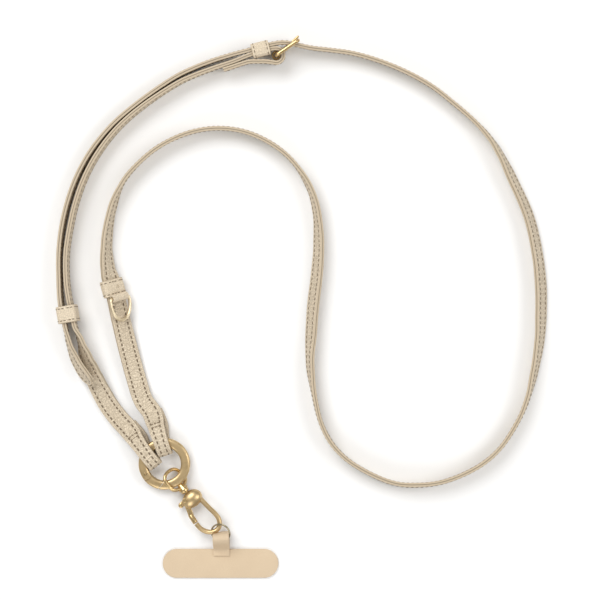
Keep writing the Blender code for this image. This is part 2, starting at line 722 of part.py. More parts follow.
AIM = polar(HOOK_AIM)
SIDE = -left_of(AIM)
BARREL_Z = BARREL_THICK / 2


def hook_point(along, side, up=0.0):
    return BARREL_CENTRE + AIM * along - SIDE * side + UP * up


EYE_CENTRE = RING_CENTRE + Vector((EYE_PLACE[0], EYE_PLACE[1], 0)) * GATE_RING_OUTER / 2
EYE_TO_BARREL = EYE_LENGTH / 2 + NECK_LENGTH + BARREL_LENGTH / 2 + CLEAR
BARREL_CENTRE = EYE_CENTRE + AIM * EYE_TO_BARREL
BARREL_CENTRE.z = BARREL_Z

# The eye's outline. Columns: place along the hook from the eye's middle as a share of its length, and half
# width as a share of its width.
EYE_OUTLINE = (
    (-0.50, 0.00),
    (-0.475, 0.20),
    (-0.39, 0.36),
    (-0.25, 0.46),
    (-0.05, 0.50),
    (0.15, 0.50),
    (0.31, 0.46),
    (0.42, 0.32),
    (0.49, 0.13),
)


def make_eye():
    """The wire eye on the gate ring, with the collar and post that the hook swivels on."""
    length = EYE_LENGTH - EYE_WIRE
    width = EYE_WIDTH - EYE_WIRE
    # As steep as the surface below it allows
    tilt = math.asin(min(0.9, (RING_Z - EYE_WIRE / 2) / (0.5 * width)) * 0.93)
    across = SIDE * math.cos(tilt) + UP * math.sin(tilt)
    neck_end = hook_point(-BARREL_LENGTH / 2 - CLEAR - NECK_LENGTH, 0)
    middle = Vector((EYE_CENTRE.x, EYE_CENTRE.y, RING_Z))
    fall = (neck_end - middle).normalized()
    rows = [(a, h) for a, h in EYE_OUTLINE] + [(a, -h) for a, h in reversed(EYE_OUTLINE[1:])]
    knots = [middle + fall * a * length + across * h * width for a, h in rows]
    eye = solid("swivel_eye", wire(knots, EYE_WIRE, 8, 0.0016, closed=True), GOLD)
    neck_middle = neck_end + AIM * (NECK_LENGTH - EYE_WIRE * 0.5) / 2
    neck = rod(neck_middle, AIM, NECK_WIRE, NECK_LENGTH + EYE_WIRE * 0.5, 14)
    combine(eye, solid("eye_neck", neck, GOLD), "UNION")
    post_middle = hook_point(-BARREL_LENGTH / 2 - CLEAR + POST_LENGTH / 2 - NECK_LENGTH / 4, 0)
    post = rod(post_middle, AIM, POST_WIRE, POST_LENGTH + NECK_LENGTH / 2, 12)
    combine(eye, solid("swivel_post", post, GOLD), "UNION")


# The fixed hook's middle line. Columns: place along the hook from the barrel's middle as a share of
# HOOK_LENGTH, and to the right side as a share of HOOK_HALF_WIDTH.
HOOK_LINE = (
    (0.06, 0.50),
    (0.25, 0.53),
    (0.45, 0.57),
    (0.64, 0.63),
    (0.80, 0.60),
    (0.92, 0.40),
    (0.99, 0.06),
    (0.985, -0.28),
    (0.92, -0.62),
    (0.81, -0.87),
    (0.69, -0.99),
    (0.54, -1.00),
)


def rise_at(along):
    return HOOK_RISE * max(0.0, min(1.0, along / HOOK_LENGTH))


def make_hook():
    """The cast barrel with the fixed hook, its swivel bore, and the slot that the gate turns in."""
    barrel = bmesh.new()
    bmesh.ops.create_uvsphere(barrel, u_segments=20, v_segments=12, radius=0.5)
    axes = Matrix([AIM * BARREL_LENGTH, SIDE * BARREL_WIDTH, UP * BARREL_THICK]).transposed().to_4x4()
    bmesh.ops.transform(barrel, matrix=Matrix.Rotation(math.pi / 2, 4, "Y"), verts=barrel.verts)
    for vert in barrel.verts:
        # A fuller ovoid than a sphere, with blunter ends
        vert.co.y *= 1.0 + 0.18 * (1 - abs(2 * vert.co.y)) * abs(2 * vert.co.x)
    bmesh.ops.transform(barrel, matrix=Matrix.Translation(BARREL_CENTRE) @ axes, verts=barrel.verts)
    body = solid("hook_body", barrel, GOLD)
    knots = []
    for along, side in HOOK_LINE:
        run = along * HOOK_LENGTH
        knots.append(hook_point(run, side * HOOK_HALF_WIDTH, rise_at(run)))
    combine(body, solid("hook_arm", wire(knots, HOOK_WIRE, 10, 0.0022), GOLD), "UNION")
    bore_middle = hook_point(-BARREL_LENGTH / 2 - CLEAR + POST_LENGTH / 2, 0)
    bore = rod(bore_middle, AIM, POST_WIRE + 2 * CLEAR, POST_LENGTH + 2 * CLEAR, 12)
    combine(body, solid("swivel_bore", bore, GOLD), "DIFFERENCE")
    slot_out = BARREL_WIDTH
    slot_side = RIVET_PLACE[1] - slot_out / 2 + HOOK_GATE_WIRE * 0.75
    slot_middle = hook_point(RIVET_PLACE[0] + slot_out * 0.2, slot_side)
    sizes = (slot_out * 1.6, slot_out, HOOK_TONGUE_THICK + 2 * CLEAR)
    combine(body, block("gate_slot", slot_middle, (AIM, SIDE, UP), sizes, GOLD), "DIFFERENCE")
    rivet = hook_point(*RIVET_PLACE)
    bore = rod(rivet, UP, RIVET_WIRE + 2 * CLEAR, BARREL_THICK * 2, 14)
    combine(body, solid("rivet_bore", bore, GOLD), "DIFFERENCE")
    make_hook_gate(rivet)


def make_hook_gate(rivet):
    """The sprung gate with its thumb knob, turning on the rivet in the barrel's slot."""
    nose = GATE_NOSE * HOOK_LENGTH - CLEAR
    tip = hook_point(nose, HOOK_LINE[-1][1] * HOOK_HALF_WIDTH, rise_at(nose))
    root = hook_point(BARREL_LENGTH * 0.66, -HOOK_HALF_WIDTH * 0.91, rise_at(0))
    gate = solid("hook_gate", wire([root, (root + tip) / 2, tip], HOOK_GATE_WIRE, 10, 0.003), GOLD)
    arm_way = (root + (tip - root) * 0.2 - rivet).normalized()
    arm_length = (root + (tip - root) * 0.2 - rivet).length
    flat = (arm_length, HOOK_GATE_WIRE * 0.95, HOOK_TONGUE_THICK)
    arm = block("gate_arm", rivet + arm_way * arm_length / 2, (arm_way, UP.cross(arm_way), UP), flat, GOLD)
    combine(gate, arm, "UNION")
    eye = rod(rivet, UP, HOOK_GATE_WIRE, HOOK_TONGUE_THICK, 16)
    combine(gate, solid("gate_eye", eye, GOLD), "UNION")
    knob = hook_point(*KNOB_PLACE)
    knob_way = (knob - rivet).normalized()
    knob_length = (knob - rivet).length
    lever_sizes = (knob_length, HOOK_GATE_WIRE * 0.8, HOOK_TONGUE_THICK)
    lever_axes = (knob_way, UP.cross(knob_way), UP)
    lever = block("gate_lever", rivet + knob_way * knob_length / 2, lever_axes, lever_sizes, GOLD)
    combine(gate, lever, "UNION")
    knob_high = HOOK_TONGUE_THICK + CLEAR
    combine(gate, solid("gate_knob", rod(knob, UP, HOOK_GATE_WIRE, knob_high, 14), GOLD), "UNION")
    bore = rod(rivet, UP, RIVET_WIRE + 2 * CLEAR, BARREL_THICK * 2, 14)
    combine(gate, solid("gate_rivet_bore", bore, GOLD), "DIFFERENCE")
    rivet_length = BARREL_THICK * 0.90
    pin = solid("hook_rivet", rod(rivet, UP, RIVET_WIRE, rivet_length, 14), GOLD)
    head = rod(rivet + UP * (rivet_length / 2 + RIVET_PROUD / 2), UP, RIVET_HEAD, RIVET_PROUD, 14)
    combine(pin, solid("rivet_head", head, GOLD), "UNION")


# Jump ring and phone tab. The jump ring leans so that it passes over the hook's bar and back under it.

def make_jump_ring():
    radius = (JUMP_RING_OUTER - JUMP_RING_WIRE) / 2
    pass_by = HOOK_WIRE / 2 + CLEAR + JUMP_RING_WIRE / 2
    over = hook_point(JUMP_OVER[0] * HOOK_LENGTH, JUMP_OVER[1] * HOOK_HALF_WIDTH)
    under = hook_point(JUMP_UNDER[0] * HOOK_LENGTH, JUMP_UNDER[1] * HOOK_HALF_WIDTH)
    chord = over - under
    chord.z = 0
    slope = pass_by / (chord.length * 0.31)
    way = polar(JUMP_LEAN_WAY)
    level = BARREL_Z + HOOK_RISE
    middle = (over + under) / 2
    away = math.sqrt(radius**2 - (chord.length / 2) ** 2)
    centre = middle - left_of(chord) * away
    knots = []
    for k in range(16):
        point = centre + polar(k * 22.5, radius)
        point.z = level + (point - middle).dot(way) * slope
        knots.append(point)
    solid("jump_ring", wire(knots, JUMP_RING_WIRE, 6, 0.0016, closed=True), JUMP_METAL)
    return centre, level


def make_tab(ring_centre, level):
    """A thin pill with a stem that is folded back round the jump ring and bonded to it."""
    top = ring_centre.y - JUMP_RING_WIRE * 0.5
    plate_top = top - STEM_LENGTH
    stem_x = ring_centre.x + CLEAR
    centre_x = stem_x + TAB_SHIFT * TAB_LENGTH
    outline = bmesh.new()
    count = 14
    ring = []
    half = TAB_DEPTH / 2
    for end in (1, -1):
        for k in range(count + 1):
            turn = -math.pi / 2 + math.pi * k / count
            x = end * (TAB_LENGTH / 2 - half + half * math.cos(turn))
            y = end * half * math.sin(turn)
            ring.append(outline.verts.new((centre_x + x, plate_top - half + y, 0)))
    face = outline.faces.new(ring)
    lifted = bmesh.ops.extrude_face_region(outline, geom=[face])["geom"]
    verts = [item for item in lifted if isinstance(item, bmesh.types.BMVert)]
    bmesh.ops.translate(outline, vec=UP * TAB_THICK, verts=verts)
    tab = solid("phone_tab", outline, TAB_SHEET)
    inner = level + HOOK_WIRE / 2 + JUMP_RING_WIRE * 2 + 3 * CLEAR
    seat = TAB_THICK + STEM_SHEET / 2 - CLEAR / 3
    # The folded stem's side view. Columns: back from the fold as a share of its length, and height as a share
    # of the loop's inner height.
    side_view = [
        (1.40, 0.0, STEM_SHEET / 2),
        (0.70, 0.0, STEM_SHEET / 2),
        (0.18, 0.00, STEM_SHEET / 2),
        (0.06, 0.05, STEM_SHEET / 2),
        (0.00, 0.20, STEM_SHEET / 2),
        (0.00, 0.64, STEM_SHEET / 2),
        (0.07, 0.92, STEM_SHEET / 2),
        (0.22, 1.00, STEM_SHEET / 2),
        (0.45, 0.84, STEM_SHEET / 2),
        (0.75, 0.40, STEM_SHEET / 2),
        (0.95, 0.08, seat),
        (1.10, 0.00, seat),
        (1.40, 0.00, seat),
    ]
    section = box_section(STEM_WIDTH, STEM_SHEET, STEM_SHEET * 0.25)
    across = Vector((1, 0, 0))
    points = []
    for back, high, lift in side_view:
        points.append(Vector((stem_x, top - back * STEM_LENGTH, lift + high * inner)))
    sections = []
    for i, point in enumerate(points):
        heading = (points[min(i + 1, len(points) - 1)] - points[max(i - 1, 0)]).normalized()
        skew = STEM_SKEW / STEM_WIDTH * max(0.0, 1 - side_view[i][0])
        sections.append(placed(section, point, across + Vector((0, skew, 0)), heading.cross(across)))
    combine(tab, solid("tab_stem", loft(sections), TAB_SHEET), "UNION")


make_straps()
make_keepers()
make_ring_keeper()
make_buckle()
make_gate_ring()
make_eye()
make_hook()
make_tab(*make_jump_ring())
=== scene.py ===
"""Looks of the phone crossbody strap: leather straps and keepers, plated fittings and the phone tab."""

import math

import bmesh
import bpy
from mathutils import Matrix, Vector


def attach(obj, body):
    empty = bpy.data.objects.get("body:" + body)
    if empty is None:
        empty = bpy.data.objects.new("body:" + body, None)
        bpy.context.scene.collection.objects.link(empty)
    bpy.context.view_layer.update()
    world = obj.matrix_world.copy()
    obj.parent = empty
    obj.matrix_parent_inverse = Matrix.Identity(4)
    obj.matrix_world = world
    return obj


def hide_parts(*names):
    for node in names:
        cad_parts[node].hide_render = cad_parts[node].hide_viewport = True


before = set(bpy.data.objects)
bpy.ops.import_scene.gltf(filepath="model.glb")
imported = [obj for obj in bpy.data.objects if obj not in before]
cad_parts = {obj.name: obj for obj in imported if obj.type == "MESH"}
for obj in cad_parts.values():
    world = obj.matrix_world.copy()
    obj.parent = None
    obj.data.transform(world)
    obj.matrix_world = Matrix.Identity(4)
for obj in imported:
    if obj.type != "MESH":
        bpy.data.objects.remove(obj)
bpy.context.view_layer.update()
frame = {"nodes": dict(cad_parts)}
UP = Vector((0, 0, 1))


# Leather: the straps, keepers and roll are one pale calfskin with a pebbled grain, cut in strips, folded or glued
# in two plies and sewn. Its cut edges are painted. The grain is a node group, because every leather piece has it.


def node(tree, kind, place, **inputs):
    """A shader node with its unlinked inputs set by name."""
    made = tree.nodes.new(kind)
    made.location = place
    for name, value in inputs.items():
        made.inputs[name.replace("_", " ")].default_value = value
    return made


def maths(tree, operation, place, first, second=None, third=None):
    """A Math node fed by sockets or plain numbers, as its output socket."""
    made = tree.nodes.new("ShaderNodeMath")
    made.operation = operation
    made.location = place
    for slot, value in zip(made.inputs, (first, second, third)):
        if value is None:
            continue
        if isinstance(value, (int, float)):
            slot.default_value = value
        else:
            tree.links.new(value, slot)
    return made.outputs[0]


def ramp(tree, place, factor, stops):
    """A Color Ramp over a factor, as its output socket. Each stop is a position and a grey or a colour."""
    made = tree.nodes.new("ShaderNodeValToRGB")
    made.location = place
    elements = made.color_ramp.elements
    while len(elements) < len(stops):
        elements.new(0.5)
    for element, (position, colour) in zip(elements, stops):
        element.position = position
        element.color = (colour, colour, colour, 1) if isinstance(colour, float) else (*colour, 1)
    tree.links.new(factor, made.inputs["Fac"])
    return made.outputs["Color"]


def blend_colour(tree, place, share, first, second, mode="MIX"):
    """Two colours mixed by a share, as a socket. Colours are sockets or plain values."""
    made = tree.nodes.new("ShaderNodeMix")
    made.data_type = "RGBA"
    made.blend_type = mode
    made.location = place
    for slot, value in ((made.inputs[0], share), (made.inputs[6], first), (made.inputs[7], second)):
        if isinstance(value, (int, float)):
            slot.default_value = value
        elif isinstance(value, tuple):
            slot.default_value = (*value, 1)
        else:
            tree.links.new(value, slot)
    return made.outputs[2]


def new_group(name, inputs, outputs):
    """An empty node group with its sockets, as (tree, input node, output node)."""
    tree = bpy.data.node_groups.new(name, "ShaderNodeTree")
    for label, kind, value in inputs:
        socket = tree.interface.new_socket(name=label, in_out="INPUT", socket_type=kind)
        if value is not None:
            socket.default_value = value
    for label, kind in outputs:
        tree.interface.new_socket(name=label, in_out="OUTPUT", socket_type=kind)
    start = tree.nodes.new("NodeGroupInput")
    start.location = (-1200, 0)
    end = tree.nodes.new("NodeGroupOutput")
    end.location = (900, 0)
    return tree, start, end


def new_material(name, **sockets):
    """A material with its Principled BSDF's plain values set, as (material, tree, shader)."""
    made = bpy.data.materials.new(name)
    made.use_nodes = True
    tree = made.node_tree
    shader = tree.nodes["Principled BSDF"]
    shader.location = (900, 0)
    tree.nodes["Material Output"].location = (1250, 0)
    for label, value in sockets.items():
        shader.inputs[label.replace("_", " ")].default_value = value
    return made, tree, shader


def place_group(tree, group, place, **inputs):
    made = tree.nodes.new("ShaderNodeGroup")
    made.node_tree = group
    made.location = place
    for label, value in inputs.items():
        made.inputs[label.replace("_", " ")].default_value = value
    return made


LIGHT_CREAM = (0.780, 0.670, 0.510)
MID_CREAM = (0.680, 0.560, 0.405)
# Painted shade colour for the crevices of the grain and the creases across the straps.
CREASE_SHADE_CREAM = (0.230, 0.165, 0.095)

pebble_grain, grain_in, grain_out = new_group(
    "pebble_grain",
    (("Pebble Size", "NodeSocketFloat", 0.00075), ("Colour Drift", "NodeSocketFloat", 0.35)),
    (("Colour", "NodeSocketColor"), ("Height", "NodeSocketFloat"), ("Roughness", "NodeSocketFloat")),
)


def build_pebble_grain():
    tree = pebble_grain
    where = node(tree, "ShaderNodeTexCoord", (-1200, -300))
    finer = maths(tree, "DIVIDE", (-1000, 200), 1.0, grain_in.outputs["Pebble Size"])
    warp = node(tree, "ShaderNodeTexNoise", (-1000, -300), Scale=900.0, Detail=2.0)
    tree.links.new(where.outputs["Object"], warp.inputs["Vector"])
    pushed = node(tree, "ShaderNodeVectorMath", (-800, -300))
    pushed.operation = "MULTIPLY_ADD"
    pushed.inputs[1].default_value = (0.0003, 0.0003, 0.0003)
    tree.links.new(warp.outputs["Color"], pushed.inputs[0])
    tree.links.new(where.outputs["Object"], pushed.inputs[2])
    cells = node(tree, "ShaderNodeTexVoronoi", (-600, 100), Randomness=0.95)
    cells.feature = "DISTANCE_TO_EDGE"
    tree.links.new(pushed.outputs[0], cells.inputs["Vector"])
    tree.links.new(finer, cells.inputs["Scale"])
    domes = ramp(tree, (-400, 100), cells.outputs["Distance"], ((0.0, 0.0), (0.10, 0.55), (0.32, 1.0)))
    pores = node(tree, "ShaderNodeTexNoise", (-600, -200), Scale=2600.0, Detail=4.0, Roughness=0.6)
    tree.links.new(where.outputs["Object"], pores.inputs["Vector"])
    height = maths(tree, "MULTIPLY_ADD", (-100, 100), pores.outputs["Fac"], 0.28, domes)
    patches = node(tree, "ShaderNodeTexNoise", (-600, -500), Scale=55.0, Detail=3.0, Roughness=0.55)
    tree.links.new(where.outputs["Object"], patches.inputs["Vector"])
    drift = maths(tree, "MULTIPLY", (-300, -500), patches.outputs["Fac"], grain_in.outputs["Colour Drift"])
    base = blend_colour(tree, (-50, -450), drift, LIGHT_CREAM, MID_CREAM)
    # Painted shade: the crevices between the pebbles are darkened towards the dark crease colour.
    creases = ramp(tree, (-100, -150), height, ((0.0, 1.0), (0.45, 0.25), (0.9, 0.0)))
    shade = maths(tree, "MULTIPLY", (150, -200), creases, 0.62)
    colour = blend_colour(tree, (350, -300), shade, base, CREASE_SHADE_CREAM)
    rough = maths(tree, "MULTIPLY_ADD", (350, 200), creases, 0.18, 0.50)
    tree.links.new(colour, grain_out.inputs["Colour"])
    tree.links.new(height, grain_out.inputs["Height"])
    tree.links.new(rough, grain_out.inputs["Roughness"])


build_pebble_grain()

# The strap's leather reads two attributes of the swept pieces: millimetres in from the nearer painted edge, and
# millimetres through the thickness from the line where the plies meet, which shows as a line along the edge.
STITCH_PITCH = 0.0025
STITCH_INSET = 0.0021
EDGE_PAINT = (0.540, 0.445, 0.320)
PLY_LINE = (0.100, 0.070, 0.040)
HOLE_SHADE = (0.070, 0.044, 0.023)


def make_strap_leather(name, stitched):
    made, tree, shader = new_material(name, Specular_IOR_Level=0.42)
    grain = place_group(tree, pebble_grain, (-500, 300), Pebble_Size=0.00100, Colour_Drift=0.5)
    inset = node(tree, "ShaderNodeAttribute", (-1100, 0))
    inset.attribute_name = "from_edge"
    through = node(tree, "ShaderNodeAttribute", (-1100, -250))
    through.attribute_name = "through"
    edge = ramp(tree, (-700, 0), inset.outputs["Fac"], ((0.10, 1.0), (0.34, 0.0)))
    off_line = maths(tree, "ABSOLUTE", (-900, -250), through.outputs["Fac"])
    line = ramp(tree, (-700, -250), off_line, ((0.07, 1.0), (0.24, 0.0)))
    seam = maths(tree, "MULTIPLY", (-450, -150), edge, line)
    skin = blend_colour(tree, (-200, 200), edge, grain.outputs["Colour"], EDGE_PAINT)
    skin = blend_colour(tree, (0, 200), maths(tree, "MULTIPLY", (-200, -150), seam, 0.62), skin, PLY_LINE)
    grain_share = maths(tree, "SUBTRACT", (-450, 50), 1.0, edge)
    height = maths(tree, "MULTIPLY", (-200, -350), grain.outputs["Height"], grain_share)
    height = maths(tree, "MULTIPLY_ADD", (0, -350), seam, -0.9, height)
    if stitched:
        # A dark needle hole at each end of every stitch
        run = node(tree, "ShaderNodeAttribute", (-1100, -500))
        run.attribute_name = "run"
        row = maths(tree, "SUBTRACT", (-900, -450), inset.outputs["Fac"], STITCH_INSET * 1000)
        row = maths(tree, "ABSOLUTE", (-750, -450), row)
        step = maths(tree, "DIVIDE", (-900, -600), run.outputs["Fac"], STITCH_PITCH * 1000)
        step = maths(tree, "FRACT", (-750, -600), step)
        step = maths(tree, "SUBTRACT", (-600, -600), step, 0.5)
        step = maths(tree, "ABSOLUTE", (-450, -600), step)
        gap = ramp(tree, (-300, -600), step, ((0.24, 1.0), (0.34, 0.0)))
        band = ramp(tree, (-600, -450), row, ((0.26, 1.0), (0.48, 0.0)))
        hole = maths(tree, "MULTIPLY", (-50, -550), band, gap)
        skin = blend_colour(tree, (200, 200), maths(tree, "MULTIPLY", (50, -400), hole, 0.8), skin, HOLE_SHADE)
        height = maths(tree, "MULTIPLY_ADD", (250, -400), hole, -0.8, height)
        # Fine creases across the strap, where it has been bent, darkened with painted shade
        wander = node(tree, "ShaderNodeTexCoord", (-1400, -900))
        drift = node(tree, "ShaderNodeTexNoise", (-1200, -900), Scale=420.0, Detail=2.0)
        tree.links.new(wander.outputs["Object"], drift.inputs["Vector"])
        pushed = maths(tree, "MULTIPLY_ADD", (-900, -850), drift.outputs["Fac"], 2.6, run.outputs["Fac"])
        down = maths(tree, "MULTIPLY_ADD", (-900, -1050), drift.outputs["Fac"], 3.0, inset.outputs["Fac"])
        flat = node(tree, "ShaderNodeCombineXYZ", (-500, -900))
        tree.links.new(maths(tree, "MULTIPLY", (-700, -850), pushed, 0.80), flat.inputs[0])
        tree.links.new(maths(tree, "MULTIPLY", (-700, -1050), down, 0.36), flat.inputs[1])
        folds = node(tree, "ShaderNodeTexVoronoi", (-300, -900), Scale=1.0, Randomness=0.9)
        folds.feature = "DISTANCE_TO_EDGE"
        tree.links.new(flat.outputs[0], folds.inputs["Vector"])
        fold = ramp(tree, (-100, -900), folds.outputs["Distance"], ((0.0, 1.0), (0.14, 0.0)))
        inside = ramp(tree, (-300, -700), inset.outputs["Fac"], ((0.25, 0.0), (0.60, 1.0)))
        fold = maths(tree, "MULTIPLY", (200, -800), fold, inside)
        skin = blend_colour(tree, (400, 200), maths(tree, "MULTIPLY", (300, -650), fold, 0.34), skin, CREASE_SHADE_CREAM)
        height = maths(tree, "MULTIPLY_ADD", (450, -450), fold, -1.1, height)
    bump = node(tree, "ShaderNodeBump", (600, -350), Strength=0.85, Distance=0.00016)
    tree.links.new(height, bump.inputs["Height"])
    tree.links.new(bump.outputs["Normal"], shader.inputs["Normal"])
    tree.links.new(skin, shader.inputs["Base Color"])
    tree.links.new(grain.outputs["Roughness"], shader.inputs["Roughness"])
    return made


strap_leather = make_strap_leather("strap_leather_look", True)


# The two straps: strips of leather glued in two plies, sewn near both edges and painted on the cut. The long one
# runs from its free tail through the buckle and both loops to the gate ring. The buckle strap lies inside its
# first run, holds the buckle in a turned-back end and goes to the gate ring too. Both are swept along the routes
# that the CAD solids follow.

LAY_WIDTH = 0.2534
LAY_DEPTH = 0.2790
STRAP_WIDTH = 0.0100
STRAP_THICK = 0.0021
STRAP_END_WIDTH = 0.0074
RETURN_PLY_LENGTH = 0.0165
RETURN_PLY_DRIFT = 0.0013
TRACK_GAP = 0.0028
FOLD_BACK_LENGTH = 0.0285
CLEAR = 0.0003
KEEPER_WALL = 0.0010
BUCKLE_WIRE = 0.0019
BUCKLE_SIDE_ROOM = 0.0004
PRONG_WIRE = 0.0011
GATE_RING_OUTER = 0.0267
GATE_RING_BAND = 0.0048
GATE_RING_THICK = 0.0036
BUCKLE_HEIGHT = STRAP_WIDTH + 2 * BUCKLE_SIDE_ROOM + 2 * BUCKLE_WIRE
LIFTS = {
    "floor": 0.0,
    "half": (KEEPER_WALL + CLEAR) / 2,
    "keeper": KEEPER_WALL + CLEAR,
    "sleeve": 1.6 * (KEEPER_WALL + CLEAR),
    "buckle": (BUCKLE_HEIGHT - STRAP_WIDTH) / 2 + 2 * CLEAR,
    "leg": 0.32 * STRAP_WIDTH,
    "tip": 0.50 * STRAP_WIDTH,
}

# Columns: place across and up the layout as shares of its width and depth, lean from upright in degrees, what
# it is lifted over, gap to the inner strap as a share of TRACK_GAP, and the name of the place.
LONG_ROUTE = (
    (-0.4240, -0.1355, 30, "tip", None, "tail"),
    (-0.4425, -0.1200, 30, "leg", None, ""),
    (-0.4600, -0.0956, 26, "keeper", None, ""),
    (-0.4740, -0.0625, 14, "keeper", None, ""),
    (-0.4815, -0.0303, 4, "keeper", None, ""),
    (-0.4855, -0.0110, 0, "keeper", 0.90, "lower_keeper"),
    (-0.4905, 0.0165, 0, "keeper", 0.75, ""),
    (-0.4930, 0.0551, 0, "half", 0.45, ""),
    (-0.4935, 0.1029, 0, "floor", 0.45, ""),
    (-0.4880, 0.1489, 0, "floor", 0.60, ""),
    (-0.4761, 0.1967, 0, "floor", 0.58, ""),
    (-0.4575, 0.2436, 0, "floor", 0.52, ""),
    (-0.4291, 0.2904, 0, "floor", 0.40, ""),
    (-0.3879, 0.3373, 1, "floor", 0.24, ""),
    (-0.3366, 0.3781, 2, "floor", 0.12, ""),
    (-0.2591, 0.4274, 4, "floor", 0.30, ""),
    (-0.2206, 0.4449, 5, "floor", 0.42, ""),
    (-0.1818, 0.4583, 6, "half", 0.46, ""),
    (-0.1431, 0.4690, 7, "keeper", 0.38, ""),
    (-0.1080, 0.4768, 8, "buckle", 0.00, ""),
    (-0.0850, 0.4825, 8, "buckle", 0.00, "top_keeper"),
    (-0.0570, 0.4888, 8, "buckle", 0.00, "heel"),
    (-0.0364, 0.4910, 8, "buckle", None, ""),
    (-0.0101, 0.4866, 8, "buckle", None, "far_bar"),
    (0.0202, 0.4818, 8, "keeper", None, ""),
    (0.0607, 0.4783, 8, "floor", None, ""),
    (0.1053, 0.4724, 8, "floor", None, ""),
    (0.1640, 0.4566, 8, "floor", None, ""),
    (0.2206, 0.4347, 8, "floor", None, ""),
    (0.2672, 0.4103, 8, "floor", None, ""),
    (0.3077, 0.3816, 8, "floor", None, ""),
    (0.3502, 0.3483, 9, "floor", None, ""),
    (0.3826, 0.3162, 13, "floor", None, ""),
    (0.4040, 0.2860, 19, "floor", None, ""),
    (0.4290, 0.2400, 28, "floor", None, ""),
    (0.4620, 0.1715, 31, "floor", None, ""),
    (0.4798, 0.1011, 33, "floor", None, ""),
    (0.4868, 0.0400, 35, "floor", None, ""),
    (0.4870, -0.0100, 34, "floor", None, ""),
    (0.4842, -0.0570, 29, "floor", None, ""),
    (0.4736, -0.1150, 22, "floor", None, ""),
    (0.4595, -0.1654, 13, "floor", None, ""),
    (0.4420, -0.2040, 10, "floor", None, ""),
    (0.4025, -0.2590, 9, "floor", None, ""),
    (0.3591, -0.2919, 8, "floor", None, ""),
    (0.2895, -0.3195, 8, "floor", None, ""),
    (0.2336, -0.3261, 9, "floor", None, ""),
    (0.1842, -0.3217, 7, "floor", None, ""),
    (0.1154, -0.2934, 4, "floor", None, ""),
    (0.0804, -0.2697, 2, "floor", None, ""),
    (0.0559, -0.2426, 0, "floor", None, ""),
    (0.0385, -0.2100, 1, "floor", None, ""),
    (0.0263, -0.1654, 3, "floor", None, ""),
    (0.0166, -0.1011, 15, "floor", None, ""),
    (0.0192, -0.0386, 26, "floor", None, ""),
    (0.0235, 0.0129, 28, "floor", None, ""),
    (0.0304, 0.0643, 27, "floor", None, ""),
    (0.0342, 0.1200, 23, "floor", None, ""),
    (0.0300, 0.1801, 14, "floor", None, ""),
    (0.0160, 0.2240, 8, "floor", None, ""),
    (-0.0182, 0.2726, -2, "floor", None, ""),
    (-0.0607, 0.3051, -5, "floor", None, ""),
    (-0.1174, 0.3281, -6, "floor", None, ""),
    (-0.1741, 0.3342, -6, "floor", None, ""),
    (-0.2300, 0.3260, -6, "floor", None, ""),
    (-0.2862, 0.3033, -7, "floor", None, ""),
    (-0.3280, 0.2740, -7, "floor", None, ""),
    (-0.3644, 0.2353, -4, "floor", None, ""),
    (-0.3868, 0.1850, 9, "floor", None, ""),
    (-0.3975, 0.1200, 18, "half", None, ""),
    (-0.3950, 0.0763, 31, "keeper", None, ""),
    (-0.3900, 0.0580, 46, "sleeve", None, ""),
    (-0.3844, 0.0390, 49, "sleeve", None, "ring_keeper"),
    (-0.3786, 0.0200, 52, "sleeve", None, ""),
    (-0.3690, -0.0200, 62, "keeper", None, ""),
    (-0.3545, -0.0754, 70, "half", None, ""),
    (-0.3385, -0.1305, 76, "floor", None, ""),
    (-0.3240, -0.1700, 82, "half", None, ""),
)

LEG_ROUTE = (
    (-0.3722, -0.2060, 87, "half", None, ""),
    (-0.3930, -0.1820, 84, "floor", None, ""),
    (-0.4070, -0.1599, 78, "floor", None, ""),
    (-0.4190, -0.1379, 68, "floor", None, ""),
    (-0.4298, -0.1140, 54, "floor", None, ""),
    (-0.4403, -0.0882, 38, "half", None, ""),
    (-0.4500, -0.0588, 18, "keeper", None, ""),
    (-0.4612, -0.0330, 3, "keeper", None, ""),
)

# Columns: place back along the strap from the heel bar, and gap to the strap, as shares.
FOLD_BACK = (
    (0.10, 0.82),
    (0.22, 0.58),
    (0.34, 0.40),
    (0.50, 0.15),
    (0.66, 0.05),
    (0.83, 0.01),
    (1.00, 0.00),
)

LONG_CROSSING, LONG_HEADING = 97.0, -71.5
SHORT_CROSSING, SHORT_HEADING = 149.0, -52.5
RING_Z = STRAP_THICK + CLEAR + GATE_RING_THICK / 2
RING_CENTRE = Vector((-0.2804 * LAY_WIDTH, -0.2869 * LAY_DEPTH, RING_Z))
RING_RADIUS = (GATE_RING_OUTER - GATE_RING_BAND) / 2


def polar(degrees, radius=1.0):
    return Vector((math.cos(math.radians(degrees)), math.sin(math.radians(degrees)), 0)) * radius


def left_of(heading):
    return Vector((-heading.y, heading.x, 0)).normalized()


def bend(knots, step, closed=False):
    """A smooth curve through the knots, as (knot number, share of the way to the next, point)."""
    count = len(knots)
    spans = count if closed else count - 1
    points = []
    for i in range(spans):
        b = knots[i]
        c = knots[(i + 1) % count]
        a = knots[(i - 1) % count] if closed or i > 0 else b * 2 - c
        d = knots[(i + 2) % count] if closed or i < count - 2 else c * 2 - b
        ab, bc, cd = (max((q - p).length, 1e-6) ** 0.5 for p, q in ((a, b), (b, c), (c, d)))
        leave = (b - a) / ab - (c - a) / (ab + bc) + (c - b) / bc
        arrive = (c - b) / bc - (d - b) / (bc + cd) + (d - c) / cd
        parts = max(2, math.ceil((c - b).length / step))
        for k in range(parts):
            u = k / parts
            point = (
                b * (2 * u**3 - 3 * u**2 + 1)
                + c * (3 * u**2 - 2 * u**3)
                + leave * bc * (u**3 - 2 * u**2 + u)
                + arrive * bc * (u**3 - u**2)
            )
            points.append((i, u, point))
    if not closed:
        points.append((spans - 1, 1.0, knots[-1].copy()))
    return points


